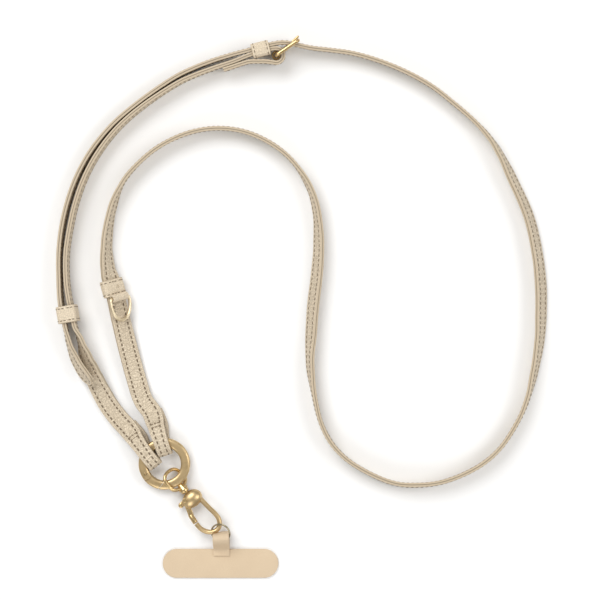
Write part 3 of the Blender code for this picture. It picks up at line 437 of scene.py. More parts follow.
class Knot:
    """A place on a strap: its middle, outward face, direction of its width, width and name."""

    def __init__(self, point, face, width_way, width=STRAP_WIDTH, name=""):
        self.point = point
        self.face = face
        self.width_way = width_way
        self.width = width
        self.name = name


def knots_of(table):
    flat = [Vector((row[0] * LAY_WIDTH, row[1] * LAY_DEPTH, 0)) for row in table]
    knots = []
    for i, row in enumerate(table):
        heading = (flat[min(i + 1, len(flat) - 1)] - flat[max(i - 1, 0)]).normalized()
        lean = math.radians(row[2])
        width_way = UP * math.cos(lean) - left_of(heading) * math.sin(lean)
        height = LIFTS[row[3]] + rest_height(width_way)
        knots.append(Knot(flat[i] + UP * height, width_way.cross(heading), width_way, name=row[5]))
    return knots


def rest_height(width_way):
    """How high the strap's middle is when its edge touches the surface."""
    flat = math.sqrt(max(0.0, 1 - width_way.z**2))
    return STRAP_WIDTH / 2 * abs(width_way.z) + STRAP_THICK / 2 * flat


def band_edge(middle, inward, side, radius):
    """How far along the strap from its crossing one of its edges meets a circle of the gate ring."""
    place = middle - Vector((RING_CENTRE.x, RING_CENTRE.y, 0)) + left_of(inward) * side * STRAP_END_WIDTH / 2
    toward = place.dot(inward)
    return -toward - math.sqrt(max(0.0, toward**2 - place.length_squared + radius**2))


def ring_fold(crossing, heading):
    """The strap's end over the ring's band, round its inner side and back beneath to its sewn end."""
    middle = RING_CENTRE + polar(crossing, RING_RADIUS)
    middle.z = 0
    inward = polar(heading)
    east = left_of(inward) if left_of(inward).x > 0 else -left_of(inward)
    low = STRAP_THICK / 2
    high = RING_Z + GATE_RING_THICK / 2 + CLEAR + STRAP_THICK / 2
    sewn = STRAP_THICK * 1.5 + CLEAR
    reach = GATE_RING_BAND / 2
    # The band curves away under the strap, which crosses it aslant, so the fold clears its furthest part.
    outer = GATE_RING_OUTER / 2
    outer_reach = max(-band_edge(middle, inward, side, outer) for side in (-1, 1))
    inner_reach = max(band_edge(middle, inward, side, outer - GATE_RING_BAND) for side in (-1, 1))
    bulge = inner_reach - reach * 0.55 + CLEAR + STRAP_THICK / 2
    points = []
    rising = 0.45 * sewn + 0.55 * high
    for out, height, wide in ((1.0, sewn, 0.0), (0.72, sewn, 0.15), (0.5, rising, 0.6)):
        along = -RETURN_PLY_LENGTH * out
        points.append((along, height, wide, 0.0))
    points.append((-outer_reach, high, 0.9, 0.0))
    for k in range(9):
        turn = math.pi * k / 8
        points.append(
            (
                reach * 0.55 + bulge * math.sin(turn),
                (high + low) / 2 + (high - low) / 2 * math.cos(turn),
                1.0,
                0.0,
            )
        )
    points.append((-outer_reach, low, 0.8, 0.35))
    points.append((-0.55 * RETURN_PLY_LENGTH, low, 0.35, 1.0))
    points.append((-RETURN_PLY_LENGTH, low, 0.1, 0.4))
    knots = []
    for along, height, narrow, drift in points:
        width = STRAP_WIDTH + (STRAP_END_WIDTH - STRAP_WIDTH) * narrow
        place = middle + inward * along + east * drift * RETURN_PLY_DRIFT + UP * height
        knots.append(Knot(place, UP, -left_of(inward), width))
    return knots


def inner_track():
    """The buckle strap along the inner side of the long strap, from the lower keeper to the heel bar."""
    knots = []
    for row, knot in zip(LONG_ROUTE, LONG):
        if row[4] is None:
            continue
        place = knot.point - knot.face * (STRAP_THICK + CLEAR + row[4] * TRACK_GAP)
        place.z = max(place.z, rest_height(knot.width_way))
        knots.append(Knot(place, knot.face, knot.width_way, name=row[5]))
    return knots


def frame_at(knots, name):
    """Point, direction, outward face and width direction at a named place of a strap."""
    at = next(i for i, knot in enumerate(knots) if knot.name == name)
    heading = (knots[at + 1].point - knots[at - 1].point).normalized()
    width_way = (knots[at].width_way - heading * knots[at].width_way.dot(heading)).normalized()
    return knots[at].point, heading, width_way.cross(heading), width_way


LONG = knots_of(LONG_ROUTE)
HEEL_POINT, HEEL_ALONG, HEEL_OUT, HEEL_WIDE = frame_at(LONG, "heel")
PRONG_EYE = BUCKLE_WIRE + 2 * CLEAR + 2 * PRONG_WIRE
FOLD_RADIUS = PRONG_EYE / 2 + CLEAR + STRAP_THICK / 2
HEEL_BAR = HEEL_POINT - HEEL_OUT * (STRAP_THICK + CLEAR + FOLD_RADIUS)
FAR_POINT, _, FAR_OUT, _ = frame_at(LONG, "far_bar")
FAR_BAR = FAR_POINT + FAR_OUT * (STRAP_THICK / 2 + CLEAR + BUCKLE_WIRE / 2)


def heel_fold(track):
    """The buckle strap round the heel bar and back beside its own inner side to its cut end."""
    knots = []
    for degrees in (50, 15, -20, -55, -90):
        turn = math.radians(degrees)
        way = HEEL_ALONG * math.cos(turn) + HEEL_OUT * math.sin(turn)
        knots.append(Knot(HEEL_BAR + way * FOLD_RADIUS, way, HEEL_WIDE))
    run = 0.0
    places = [(0.0, track[-1])]
    for after, before in zip(reversed(track), reversed(track[:-1])):
        run += (after.point - before.point).length
        places.append((run, before))
    widest = 2 * FOLD_RADIUS - STRAP_THICK - CLEAR
    for back, gap in FOLD_BACK:
        i = next(k for k, (far, _) in enumerate(places) if far >= back * FOLD_BACK_LENGTH)
        (near, first), (far, second) = places[i - 1], places[i]
        u = (back * FOLD_BACK_LENGTH - near) / (far - near)
        face = (first.face * (1 - u) + second.face * u).normalized()
        point = first.point * (1 - u) + second.point * u
        place = point - face * (STRAP_THICK + CLEAR + gap * widest)
        knots.append(Knot(place, -face, first.width_way * (1 - u) + second.width_way * u))
    return knots


STRAP_STEP = 0.0013
CORNER = 0.00034
VALLEY = 0.00010
CROWN = 0.00006


def strap_profile(width):
    """The strap's section as (through, across) pairs: crowned faces with a valley under each row of stitches,
    rounded painted edges, and a fine groove where the plies meet."""
    half = width / 2
    row = half - min(STITCH_INSET, 0.30 * width)
    side = [
        (1.0, half - CORNER, 0.0),
        (1.0, row + 0.0004, 0.0),
        (1.0, row, -VALLEY),
        (1.0, row - 0.0004, 0.0),
        (1.0, row * 0.4, CROWN),
    ]
    flat = STRAP_THICK / 2
    face = [(flat + lift, across) for _, across, lift in side]
    face.append((flat + CROWN, 0.0))
    face += [(through, -across) for through, across in reversed(face[:-1])]
    edge = [
        (flat - CORNER * 0.29, -half + CORNER * 0.29),
        (flat - CORNER, -half),
        (CORNER * 0.55, -half),
        (0.0, -half + 0.00016),
        (-CORNER * 0.55, -half),
        (-flat + CORNER, -half),
        (-flat + CORNER * 0.29, -half + CORNER * 0.29),
    ]
    half_turn = face + edge
    return half_turn + [(-through, -across) for through, across in half_turn]


def frames_along(knots, step):
    """Point, width direction, direction, width and distance run at each step of a strap's route."""
    places = bend([knot.point for knot in knots], step)
    count = len(places)
    frames = []
    run = 0.0
    for i, (k, u, point) in enumerate(places):
        before = places[max(i - 1, 0)][2]
        after = places[min(i + 1, count - 1)][2]
        run += (point - before).length
        along = (after - before).normalized()
        knot, following = knots[k], knots[k + 1]
        ease = u * u * (3 - 2 * u)
        width_way = knot.width_way * (1 - ease) + following.width_way * ease
        width_way = (width_way - along * width_way.dot(along)).normalized()
        frames.append((point, width_way, along, knot.width * (1 - ease) + following.width * ease, run))
    return frames


def finish_piece(name, bm, look, sharp=40.0):
    """An object at the origin from a bmesh whose faces are turned outwards, smooth up to an angle."""
    bmesh.ops.recalc_face_normals(bm, faces=bm.faces)
    mesh = bpy.data.meshes.new(name)
    bm.to_mesh(mesh)
    bm.free()
    mesh.shade_smooth()
    mesh.set_sharp_from_angle(angle=math.radians(sharp))
    mesh.materials.append(look)
    made = bpy.data.objects.new(name, mesh)
    bpy.context.scene.collection.objects.link(made)
    return made


def swept_strip(name, rings, marks, look, closed=False):
    """A grid bent into a tube through rings of points, welded along its seam, with the marks the leather reads."""
    bm = bmesh.new()
    turns, steps = len(rings[0]), len(rings) + (1 if closed else 0)
    bmesh.ops.create_grid(bm, x_segments=steps - 1, y_segments=turns, size=0.5)
    layers = {key: bm.verts.layers.float.new(key) for key in ("run", "from_edge", "through")}
    for vert in bm.verts:
        i = round((vert.co.x + 0.5) * (steps - 1)) % len(rings)
        j = round((vert.co.y + 0.5) * turns) % turns
        vert.co = rings[i][j]
        for key, layer in layers.items():
            vert[layer] = marks[key][i][j]
    bmesh.ops.remove_doubles(bm, verts=bm.verts, dist=1e-7)
    if not closed:
        bmesh.ops.holes_fill(bm, edges=[edge for edge in bm.edges if edge.is_boundary])
    return finish_piece(name, bm, look)


def leather_strap(name, knots, tail=0.0):
    """A strap along its knots. Its tail narrows to a round tip over that length."""
    frames = frames_along(knots, STRAP_STEP)
    rings = []
    marks = {"run": [], "from_edge": [], "through": []}
    for point, width_way, along, width, run in frames:
        if run < tail:
            width *= max(0.25, math.sqrt(1 - (1 - run / tail) ** 2))
        out = width_way.cross(along)
        profile = strap_profile(width)
        rings.append([point + out * t + width_way * w for t, w in profile])
        marks["run"].append([run * 1000] * len(profile))
        marks["from_edge"].append([(width / 2 - abs(w)) * 1000 for _, w in profile])
        marks["through"].append([t * 1000 for t, _ in profile])
    return swept_strip(name, rings, marks, strap_leather), frames


long_strap, long_frames = leather_strap(
    "long_leather", LONG + ring_fold(LONG_CROSSING, LONG_HEADING), tail=STRAP_WIDTH * 0.6
)
short_fold = list(reversed(ring_fold(SHORT_CROSSING, SHORT_HEADING)))
for knot in short_fold:
    knot.width_way = -knot.width_way
track = inner_track()
short_strap, short_frames = leather_strap(
    "buckle_leather", short_fold + knots_of(LEG_ROUTE) + track + heel_fold(track)
)

# Waxed thread: one short capsule for each stitch, sunk in the valley on both faces of the strap.
THREAD_THICK = 0.00050
THREAD_LENGTH = 0.00135

thread_look, thread_tree, thread_shader = new_material("thread_look", Roughness=0.62)
twist_at = node(thread_tree, "ShaderNodeTexCoord", (-600, 0))
twist = node(thread_tree, "ShaderNodeTexNoise", (-400, 0), Scale=1500.0, Detail=3.0)
thread_tree.links.new(twist_at.outputs["Object"], twist.inputs["Vector"])
# The thread's colour is partly painted shade: it is darker than the tan thread, standing in for the shade in the sunk
# stitch rows.
thread_tone_and_shade = ramp(thread_tree, (-200, 0), twist.outputs["Fac"], ((0.3, (0.13, 0.09, 0.05)), (0.7, (0.25, 0.18, 0.11))))
thread_tree.links.new(thread_tone_and_shade, thread_shader.inputs["Base Color"])
thread_bump = node(thread_tree, "ShaderNodeBump", (400, -200), Strength=0.5, Distance=0.00005)
thread_tree.links.new(twist.outputs["Fac"], thread_bump.inputs["Height"])
thread_tree.links.new(thread_bump.outputs["Normal"], thread_shader.inputs["Normal"])


def stitch_shape():
    """One stitch along X at the origin: a short round bar with drawn-in ends."""
    bm = bmesh.new()
    bmesh.ops.create_uvsphere(bm, u_segments=6, v_segments=4, radius=THREAD_THICK / 2)
    bmesh.ops.rotate(bm, verts=bm.verts, matrix=Matrix.Rotation(math.pi / 2, 3, "Y"))
    for vert in bm.verts:
        vert.co.x += math.copysign((THREAD_LENGTH - THREAD_THICK) / 2, vert.co.x) if abs(vert.co.x) > 1e-7 else 0
    mesh = bpy.data.meshes.new("stitch_shape")
    bm.to_mesh(mesh)
    bm.free()
    return mesh


one_stitch = stitch_shape()


def sewn(name, places):
    """All the stitches of a piece as one mesh: each place is a middle, a direction and an outward face."""
    bm = bmesh.new()
    for middle, along, out in places:
        first = len(bm.verts)
        bm.from_mesh(one_stitch)
        bm.verts.ensure_lookup_table()
        fresh = bm.verts[first:]
        turn = Matrix((along, out.cross(along), out)).transposed().to_4x4()
        bmesh.ops.transform(bm, matrix=Matrix.Translation(middle) @ turn, verts=fresh)
    return finish_piece(name, bm, thread_look, 80.0)


def strap_rows(frames, begin, end):
    """Places of the stitches in both rows on both faces, between two distances along a strap."""
    places = []
    count = 0
    for first, second in zip(frames, frames[1:]):
        while (count + 0.5) * STITCH_PITCH <= second[4]:
            run = (count + 0.5) * STITCH_PITCH
            count += 1
            if run < max(first[4], begin) or run > end:
                continue
            u = (run - first[4]) / max(second[4] - first[4], 1e-9)
            point = first[0].lerp(second[0], u)
            width_way = first[1].lerp(second[1], u).normalized()
            along = (second[0] - first[0]).normalized()
            width = first[3] * (1 - u) + second[3] * u
            out = width_way.cross(along)
            row = width / 2 - min(STITCH_INSET, 0.30 * width)
            for side in (1, -1):
                for face in (1, -1):
                    sunk = STRAP_THICK / 2 - VALLEY + THREAD_THICK * 0.18
                    places.append((point + width_way * row * side + out * face * sunk, along, out * face))
    return places


def cross_seam(frames, x, y):
    """Places of a double row of stitches across a strap's upper face, nearest to a place seen from above."""
    places = []
    spot = min(frames, key=lambda frame: math.dist(frame[0].xy, (x, y)) - frame[0].z)
    after = frames[frames.index(spot) + 1]
    along = (after[0] - spot[0]).normalized()
    out = spot[1].cross(along)
    up = out if out.z > 0 else -out
    for back in (-0.0010, 0.0010):
        for k in range(-1, 2):
            middle = spot[0] + along * back + spot[1] * k * spot[3] * 0.19
            places.append((middle + up * (STRAP_THICK / 2 + THREAD_THICK * 0.1), spot[1], up))
    return places


long_places = strap_rows(long_frames, STRAP_WIDTH * 0.6, long_frames[-1][4] - 0.002)
short_places = strap_rows(short_frames, 0.002, short_frames[-1][4] - 0.002)
long_thread = sewn("long_thread", long_places + cross_seam(long_frames, -0.0754, -0.0600))
short_thread = sewn("buckle_thread", short_places + cross_seam(short_frames, -0.0890, -0.0660))

for piece, solid_name in ((long_strap, "long_strap"), (short_strap, "buckle_strap")):
    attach(piece, "strap")
    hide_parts(solid_name)
for piece in (long_thread, short_thread):
    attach(piece, "strap")


# The keepers: strips of the same leather, 1 mm thick, closed into loops round the straps, sewn near both edges.
# The ring keeper on the long strap's end also carries a small hole, and a roll of leather for the D-ring's bar.

KEEPER_ROOM = 0.0004
KEEPER_STEPS = 9
KEEPER_PITCH = 0.0019
KEEPER_ROW = 0.0013

keeper_leather = make_strap_leather("keeper_leather_look", False)


def loop_path(wide, high, corner, steps):
    """A rectangle with rounded corners, with points along its sides too."""
    points = []
    for quarter in range(4):
        turn = quarter * math.pi / 2
        sx = 1 if quarter in (0, 3) else -1
        sy = 1 if quarter in (0, 1) else -1
        for k in range(steps + 1):
            b = turn + k * math.pi / 2 / steps
            x = sx * (wide / 2 - corner) + corner * math.cos(b)
            points.append((x, sy * (high / 2 - corner) + corner * math.sin(b)))
    filled = []
    for first, second in zip(points, points[1:] + points[:1]):
        pieces = max(1, math.ceil(math.dist(first, second) / 0.0009))
        for k in range(pieces):
            u = k / pieces
            filled.append((first[0] * (1 - u) + second[0] * u, first[1] * (1 - u) + second[1] * u))
    return filled


def keeper_profile(length):
    """The strip's section as (through, along) pairs, with a valley under each row of stitches."""
    half, flat, corner = length / 2, KEEPER_WALL / 2, 0.00022
    row = half - KEEPER_ROW
    face = [
        (flat, half - corner),
        (flat, row + 0.0003),
        (flat - 0.00006, row),
        (flat + 0.00002, row - 0.0003),
        (flat + 0.00005, row * 0.5),
        (flat + 0.00005, 0.0),
    ]
    face += [(t, -s) for t, s in reversed(face[:-1])]
    edge = [(flat - corner * 0.3, -half + corner * 0.3), (flat - corner, -half)]
    half_turn = face + edge
    return half_turn + [(-t, -s) for t, s in half_turn]


def leather_loop(name, centre, along, out, wide, room_out, length):
    """A keeper round straps whose inner size through them is room_out, with its two rows of stitches."""
    room_wide = STRAP_WIDTH + 2 * CLEAR
    path = loop_path(room_out + KEEPER_WALL, room_wide + KEEPER_WALL, KEEPER_WALL * 1.4, KEEPER_STEPS)
    rings, stitches = [], []
    marks = {"run": [], "from_edge": [], "through": []}
    profile = keeper_profile(length)
    count = len(path)
    run = 0.0
    next_stitch = KEEPER_PITCH / 2
    for i, (x, y) in enumerate(path):
        before, after = path[i - 1], path[(i + 1) % count]
        heading = (out * (after[0] - before[0]) + wide * (after[1] - before[1])).normalized()
        face = heading.cross(along)
        place = centre + out * x + wide * y
        rings.append([place + face * t + along * s for t, s in profile])
        marks["run"].append([run * 1000] * len(profile))
        marks["from_edge"].append([(length / 2 - abs(s)) * 1000 for _, s in profile])
        marks["through"].append([0.9] * len(profile))
        run += math.dist((x, y), after)
        outward = face if face.dot(out * x + wide * y) > 0 else -face
        if run > next_stitch:
            next_stitch += KEEPER_PITCH
            for side in (1, -1):
                spot = place + along * side * (length / 2 - KEEPER_ROW) + outward * (KEEPER_WALL / 2 - 0.00002)
                stitches.append((spot, heading, outward))
    return swept_strip(name, rings, marks, keeper_leather, closed=True), stitches


for name, place, length in (("top_keeper", "top_keeper", 0.0092), ("lower_keeper", "lower_keeper", 0.0088)):
    outer, along, out, wide = frame_at(LONG, place)
    inner = next(knot.point for knot in track if knot.name == place)
    room = (outer - inner).length + STRAP_THICK + 2 * CLEAR + KEEPER_ROOM
    loop, stitches = leather_loop(name + "_leather", (outer + inner) / 2, along, out, wide, room, length)
    rows = sewn(name + "_thread", stitches)
    for piece in (loop, rows):
        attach(piece, "strap")
    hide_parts(name)

RING_KEEPER_LENGTH = 0.0086
D_RING_WIRE = 0.0016
D_RING_WIDTH = 0.0118
D_RING_DROP = 0.0116
ROLL_WALL = 0.0009
centre, along, out, wide = frame_at(LONG, "ring_keeper")
room = STRAP_THICK + 2 * CLEAR + KEEPER_ROOM
sleeve, stitches = leather_loop("ring_keeper_leather", centre, along, out, wide, room, RING_KEEPER_LENGTH)
HOLE_PLACE = centre + Vector((0.0018, 0.0006, 0)) + out * (room / 2 + KEEPER_WALL / 2)
HOLE_AXIS = out
ROLL = D_RING_WIRE + 2 * CLEAR + 2 * ROLL_WALL
FACE = STRAP_THICK / 2 + CLEAR + ROLL / 2
BAR = centre + along * (RING_KEEPER_LENGTH / 2 + ROLL * 0.3) + out * FACE


def axes_at(place, x_way, y_way, z_way):
    """A matrix that takes X, Y and Z to three directions at a place."""
    return Matrix.Translation(place) @ Matrix((x_way, y_way, z_way)).transposed().to_4x4()


def leather_roll():
    """A turned roll: its wall's section is spun round the D-ring's bar, with rounded ends."""
    bm = bmesh.new()
    length = D_RING_WIDTH - D_RING_WIRE - 2 * CLEAR
    inner_r, outer_r, ease = ROLL / 2 - ROLL_WALL, ROLL / 2, 0.0002
    corners = (
        (inner_r, -length / 2 + ease),
        (inner_r + ease, -length / 2),
        (outer_r - ease, -length / 2),
        (outer_r, -length / 2 + ease),
        (outer_r, length / 2 - ease),
        (outer_r - ease, length / 2),
        (inner_r + ease, length / 2),
        (inner_r, length / 2 - ease),
    )
    verts = [bm.verts.new((r, 0, z)) for r, z in corners]
    edges = [bm.edges.new((a, b)) for a, b in zip(verts, verts[1:] + verts[:1])]
    bmesh.ops.spin(
        bm, geom=verts + edges, axis=(0, 0, 1), cent=(0, 0, 0), angle=2 * math.pi, steps=32, use_merge=True
    )
    bmesh.ops.remove_doubles(bm, verts=bm.verts, dist=1e-7)
    # Far from any painted edge, as the leather's look reads it
    for key in ("from_edge", "through"):
        layer = bm.verts.layers.float.new(key)
        for vert in bm.verts:
            vert[layer] = 5.0
    bmesh.ops.transform(bm, matrix=axes_at(BAR, along, out, along.cross(out)), verts=bm.verts)
    bmesh.ops.recalc_face_normals(bm, faces=bm.faces)
    return finish_piece("ring_roll_leather", bm, keeper_leather)


roll = leather_roll()
rows = sewn("ring_keeper_thread", stitches)
for piece in (sleeve, roll, rows):
    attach(piece, "strap")
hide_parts("ring_keeper")


# The fittings: zinc alloy, polished and plated pale gold, with painted shade darkening their hollows and joints. The
# wires of the buckle, D-ring, eye and hook are round, the gate ring's band is domed, and the jump ring is plain split
# wire.

plating, plating_in, plating_out = new_group(
    "plating",
    (
        ("Bright", "NodeSocketColor", (0.86, 0.70, 0.44, 1)),
        ("Dull", "NodeSocketColor", (0.62, 0.46, 0.24, 1)),
        ("Polish", "NodeSocketFloat", 0.2),
    ),
    (("Colour", "NodeSocketColor"), ("Roughness", "NodeSocketFloat"), ("Height", "NodeSocketFloat")),
)


def build_plating():
    tree = plating
    where = node(tree, "ShaderNodeTexCoord", (-1200, -300))
    clouds = node(tree, "ShaderNodeTexNoise", (-900, 100), Scale=260.0, Detail=4.0, Roughness=0.6)
    tree.links.new(where.outputs["Object"], clouds.inputs["Vector"])
    scratches = node(tree, "ShaderNodeTexNoise", (-900, -300), Scale=2200.0, Detail=3.0, Distortion=1.6)
    tree.links.new(where.outputs["Object"], scratches.inputs["Vector"])
    hollows = node(tree, "ShaderNodeNewGeometry", (-900, -600))
    # Painted shade: concave places, as pointiness finds them, take the darker colour. The clouds below are random
    # plating tone.
    hollow_shade = ramp(tree, (-650, -600), hollows.outputs["Pointiness"], ((0.42, 1.0), (0.52, 0.0)))
    cloud_share = ramp(tree, (-650, 100), clouds.outputs["Fac"], ((0.35, 0.0), (0.75, 0.45)))
    share = maths(tree, "MAXIMUM", (-350, -100), cloud_share, hollow_shade)
    colour = blend_colour(tree, (0, 100), share, plating_in.outputs["Bright"], plating_in.outputs["Dull"])
    rough = maths(tree, "MULTIPLY_ADD", (-100, -300), scratches.outputs["Fac"], 0.16, plating_in.outputs["Polish"])
    tree.links.new(colour, plating_out.inputs["Colour"])
    tree.links.new(rough, plating_out.inputs["Roughness"])
    tree.links.new(scratches.outputs["Fac"], plating_out.inputs["Height"])


build_plating()


def make_plated(name, bright, dull, polish):
    made, tree, shader = new_material(name, Metallic=1.0)
    group = place_group(tree, plating, (300, 0), Bright=(*bright, 1), Dull=(*dull, 1), Polish=polish)
    tree.links.new(group.outputs["Colour"], shader.inputs["Base Color"])
    tree.links.new(group.outputs["Roughness"], shader.inputs["Roughness"])
    bump = node(tree, "ShaderNodeBump", (600, -300), Strength=0.12, Distance=0.00003)
    tree.links.new(group.outputs["Height"], bump.inputs["Height"])
    tree.links.new(bump.outputs["Normal"], shader.inputs["Normal"])
    return made


gold = make_plated("pale_gold_look", (0.72, 0.53, 0.27), (0.30, 0.19, 0.08), 0.20)
cast_gold = make_plated("cast_gold_look", (0.68, 0.51, 0.28), (0.30, 0.20, 0.09), 0.30)
satin_gold = make_plated("satin_gold_look", (0.86, 0.74, 0.53), (0.55, 0.43, 0.25), 0.34)
grey_gold = make_plated("jump_ring_look", (0.42, 0.37, 0.26), (0.20, 0.16, 0.10), 0.20)


def fitting(piece, solid_name, body="strap"):
    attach(piece, body)
    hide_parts(solid_name)


def round_wire(knots, diameter, sides, step, closed=False):
    """A round wire along a smooth curve as a bmesh: a grid wrapped round it and welded, its frame kept untwisted."""
    points = [point for _, _, point in bend(knots, step, closed)]
    count = len(points)
    frames = []
    across = None
    for i, point in enumerate(points):
        before = points[i - 1] if i or closed else point
        after = points[(i + 1) % count] if i < count - 1 or closed else point
        way = (after - before).normalized()
        across = way.orthogonal() if across is None else across
        across = (across - way * across.dot(way)).normalized()
        frames.append((point, across, way.cross(across)))
    bm = bmesh.new()
    steps = count + (1 if closed else 0)
    bmesh.ops.create_grid(bm, x_segments=steps - 1, y_segments=sides, size=0.5)
    for vert in bm.verts:
        point, first, second = frames[round((vert.co.x + 0.5) * (steps - 1)) % count]
        turn = 2 * math.pi * round((vert.co.y + 0.5) * sides) / sides
        vert.co = point + (first * math.cos(turn) + second * math.sin(turn)) * diameter / 2
    bmesh.ops.remove_doubles(bm, verts=bm.verts, dist=1e-7)
    if not closed:
        bmesh.ops.holes_fill(bm, edges=[edge for edge in bm.edges if edge.is_boundary])
    bmesh.ops.recalc_face_normals(bm, faces=bm.faces)
    return bm


def turned_bar(centre, way, diameter, length, ease, sides=28):
    """A round bar about its middle with its end edges rounded."""
    bm = bmesh.new()
    bmesh.ops.create_cone(
        bm, cap_ends=True, segments=sides, radius1=diameter / 2, radius2=diameter / 2, depth=length
    )
    rims = [edge for edge in bm.edges if len({round(v.co.z, 6) for v in edge.verts}) == 1]
    bmesh.ops.bevel(bm, geom=rims, offset=ease, affect="EDGES", segments=3, profile=0.5, material=-1)
    side = way.orthogonal().normalized()
    bmesh.ops.transform(bm, matrix=axes_at(centre, side, way.cross(side), way), verts=bm.verts)
    return bm


def joined(*parts):
    """Several bmeshes as one."""
    whole = parts[0]
    for part in parts[1:]:
        step = bpy.data.meshes.new("step")
        part.to_mesh(step)
        part.free()
        whole.from_mesh(step)
        bpy.data.meshes.remove(step)
    return whole


def shaped(target, bm, operation):
    """The target joined with, or cut by, a closed bmesh, with the result applied to its mesh."""
    helper = finish_piece("helper", bm, target.data.materials[0])
    step = target.modifiers.new("shape", "BOOLEAN")
    step.operation = operation
    step.solver = "EXACT"
    step.object = helper
    graph = bpy.context.evaluated_depsgraph_get()
    result = bpy.data.meshes.new_from_object(target.evaluated_get(graph))
    target.modifiers.remove(step)
    target.data = result
    bpy.data.objects.remove(helper, do_unlink=True)
    result.shade_smooth()
    result.set_sharp_from_angle(angle=math.radians(32))


# The buckle: a wire frame that both straps run through, and a prong with its eye on the heel bar.

half = (BUCKLE_HEIGHT - BUCKLE_WIRE) / 2
reach = FAR_BAR - HEEL_BAR
frame_line = []
for x, y in loop_path(reach.length, 2 * half, BUCKLE_WIRE * 0.8, 5):
    frame_line.append((HEEL_BAR + FAR_BAR) / 2 + reach.normalized() * x + HEEL_WIDE * y)
buckle = finish_piece("buckle_frame_gold", round_wire(frame_line, BUCKLE_WIRE, 24, 0.0006, closed=True), gold)
fitting(buckle, "buckle_frame")

tip = FAR_BAR + FAR_OUT * (BUCKLE_WIRE / 2 + CLEAR + PRONG_WIRE / 2) * 1.3
line = (tip - HEEL_BAR).normalized()
eye_inner = BUCKLE_WIRE + 2 * CLEAR
prong_start = HEEL_BAR + line * (eye_inner / 2 + PRONG_WIRE * 0.3)
prong = finish_piece(
    "buckle_prong_gold",
    turned_bar((prong_start + tip) / 2, line, PRONG_WIRE, (tip - prong_start).length, PRONG_WIRE * 0.35),
    gold,
)
ring = []
for k in range(16):
    turn = k * math.pi / 8
    side = line.cross(HEEL_WIDE)
    ring.append(HEEL_BAR + (line * math.cos(turn) + side * math.sin(turn)) * (eye_inner + PRONG_WIRE) / 2)
shaped(prong, round_wire(ring, PRONG_WIRE, 16, 0.0004, closed=True), "UNION")
fitting(prong, "buckle_prong")


# The D-ring: its straight bar turns in the roll, and its bow lies on the strap.

half = D_RING_WIDTH / 2
corner = D_RING_WIRE
drop = along * D_RING_DROP - out * (FACE - STRAP_THICK / 2 - CLEAR - D_RING_WIRE / 2)
way = drop.normalized()
bow = [(-0.92, 0.48), (-0.66, 0.78), (-0.25, 0.97), (0.25, 1.0), (0.72, 0.86), (0.98, 0.52)]
knots = [BAR + wide * x * half + drop * share for x, share in bow]
knots = [BAR - wide * half + way * corner] + knots + [BAR + wide * half + way * corner]
knots += [BAR + wide * (half - corner * 0.3) + way * corner * 0.3, BAR + wide * (half - corner)]
knots += [BAR, BAR - wide * (half - corner), BAR - wide * (half - corner * 0.3) + way * corner * 0.3]
# The small punched hole in the ring keeper
shaped(sleeve, turned_bar(HOLE_PLACE, HOLE_AXIS, 0.0015, KEEPER_WALL * 2.2, 0.0001, 24), "DIFFERENCE")
d_ring = finish_piece("d_ring_gold", round_wire(knots, D_RING_WIRE, 24, 0.0005, closed=True), satin_gold)
fitting(d_ring, "d_ring", "d_ring")


# The spring-gate ring: a domed cast band, sawn through at the gate. The gate turns on a pin in a fork, and both
# of its ends are cut round about that pin.

GATE_JOINT_ANGLE = 223.7
GATE_TIP_ANGLE = 262.0
GATE_PIN_ANGLE = 207.6
GATE_PIN_WIRE = 0.0014
GATE_TONGUE_THICK = 0.0014
GATE_TONGUE_ROUND = 0.0019


def domed_band(first, last, steps, grown=0.0):
    """A stretch of the band between two angles: its rounded section is spun about the ring's middle."""
    bm = bmesh.new()
    wide, high = GATE_RING_BAND + grown, GATE_RING_THICK + grown
    verts = []
    for k in range(28):
        turn = 2 * math.pi * k / 28
        c, s = math.cos(turn), math.sin(turn)
        x = math.copysign(abs(c) ** 0.62, c) * wide / 2
        z = math.copysign(abs(s) ** 0.62, s) * high / 2
        verts.append(bm.verts.new((RING_RADIUS + x, 0, z)))
    edges = [bm.edges.new((a, b)) for a, b in zip(verts, verts[1:] + verts[:1])]
    angle = math.radians(last - first)
    bmesh.ops.spin(bm, geom=verts + edges, axis=(0, 0, 1), cent=(0, 0, 0), angle=angle, steps=steps)
    bmesh.ops.holes_fill(bm, edges=[edge for edge in bm.edges if edge.is_boundary])
    bmesh.ops.rotate(bm, verts=bm.verts, matrix=Matrix.Rotation(math.radians(first), 3, "Z"))
    bmesh.ops.translate(bm, verts=bm.verts, vec=RING_CENTRE)
    bmesh.ops.recalc_face_normals(bm, faces=bm.faces)
    return bm


def squared_bar(centre, x_way, y_way, z_way, sizes, ease=0.0):
    """A block on three axes with its edges rounded."""
    bm = bmesh.new()
    bmesh.ops.create_cube(bm, size=1)
    bmesh.ops.scale(bm, vec=sizes, verts=bm.verts)
    if ease:
        bmesh.ops.bevel(bm, geom=bm.edges[:], offset=ease, affect="EDGES", segments=2, profile=0.5, material=-1)
    bmesh.ops.transform(bm, matrix=axes_at(centre, x_way, y_way, z_way), verts=bm.verts)
    bmesh.ops.recalc_face_normals(bm, faces=bm.faces)
    return bm


pin_place = RING_CENTRE + polar(GATE_PIN_ANGLE, RING_RADIUS)
joint = (RING_CENTRE + polar(GATE_JOINT_ANGLE, RING_RADIUS) - pin_place).length
tip_reach = (RING_CENTRE + polar(GATE_TIP_ANGLE, RING_RADIUS) - pin_place).length
spare = (GATE_JOINT_ANGLE - GATE_PIN_ANGLE) * 0.6
first, last = GATE_JOINT_ANGLE - spare, GATE_TIP_ANGLE + spare


def round_cut(radius):
    return turned_bar(pin_place, UP, 2 * radius, GATE_RING_THICK * 2, 0.0002, 72)


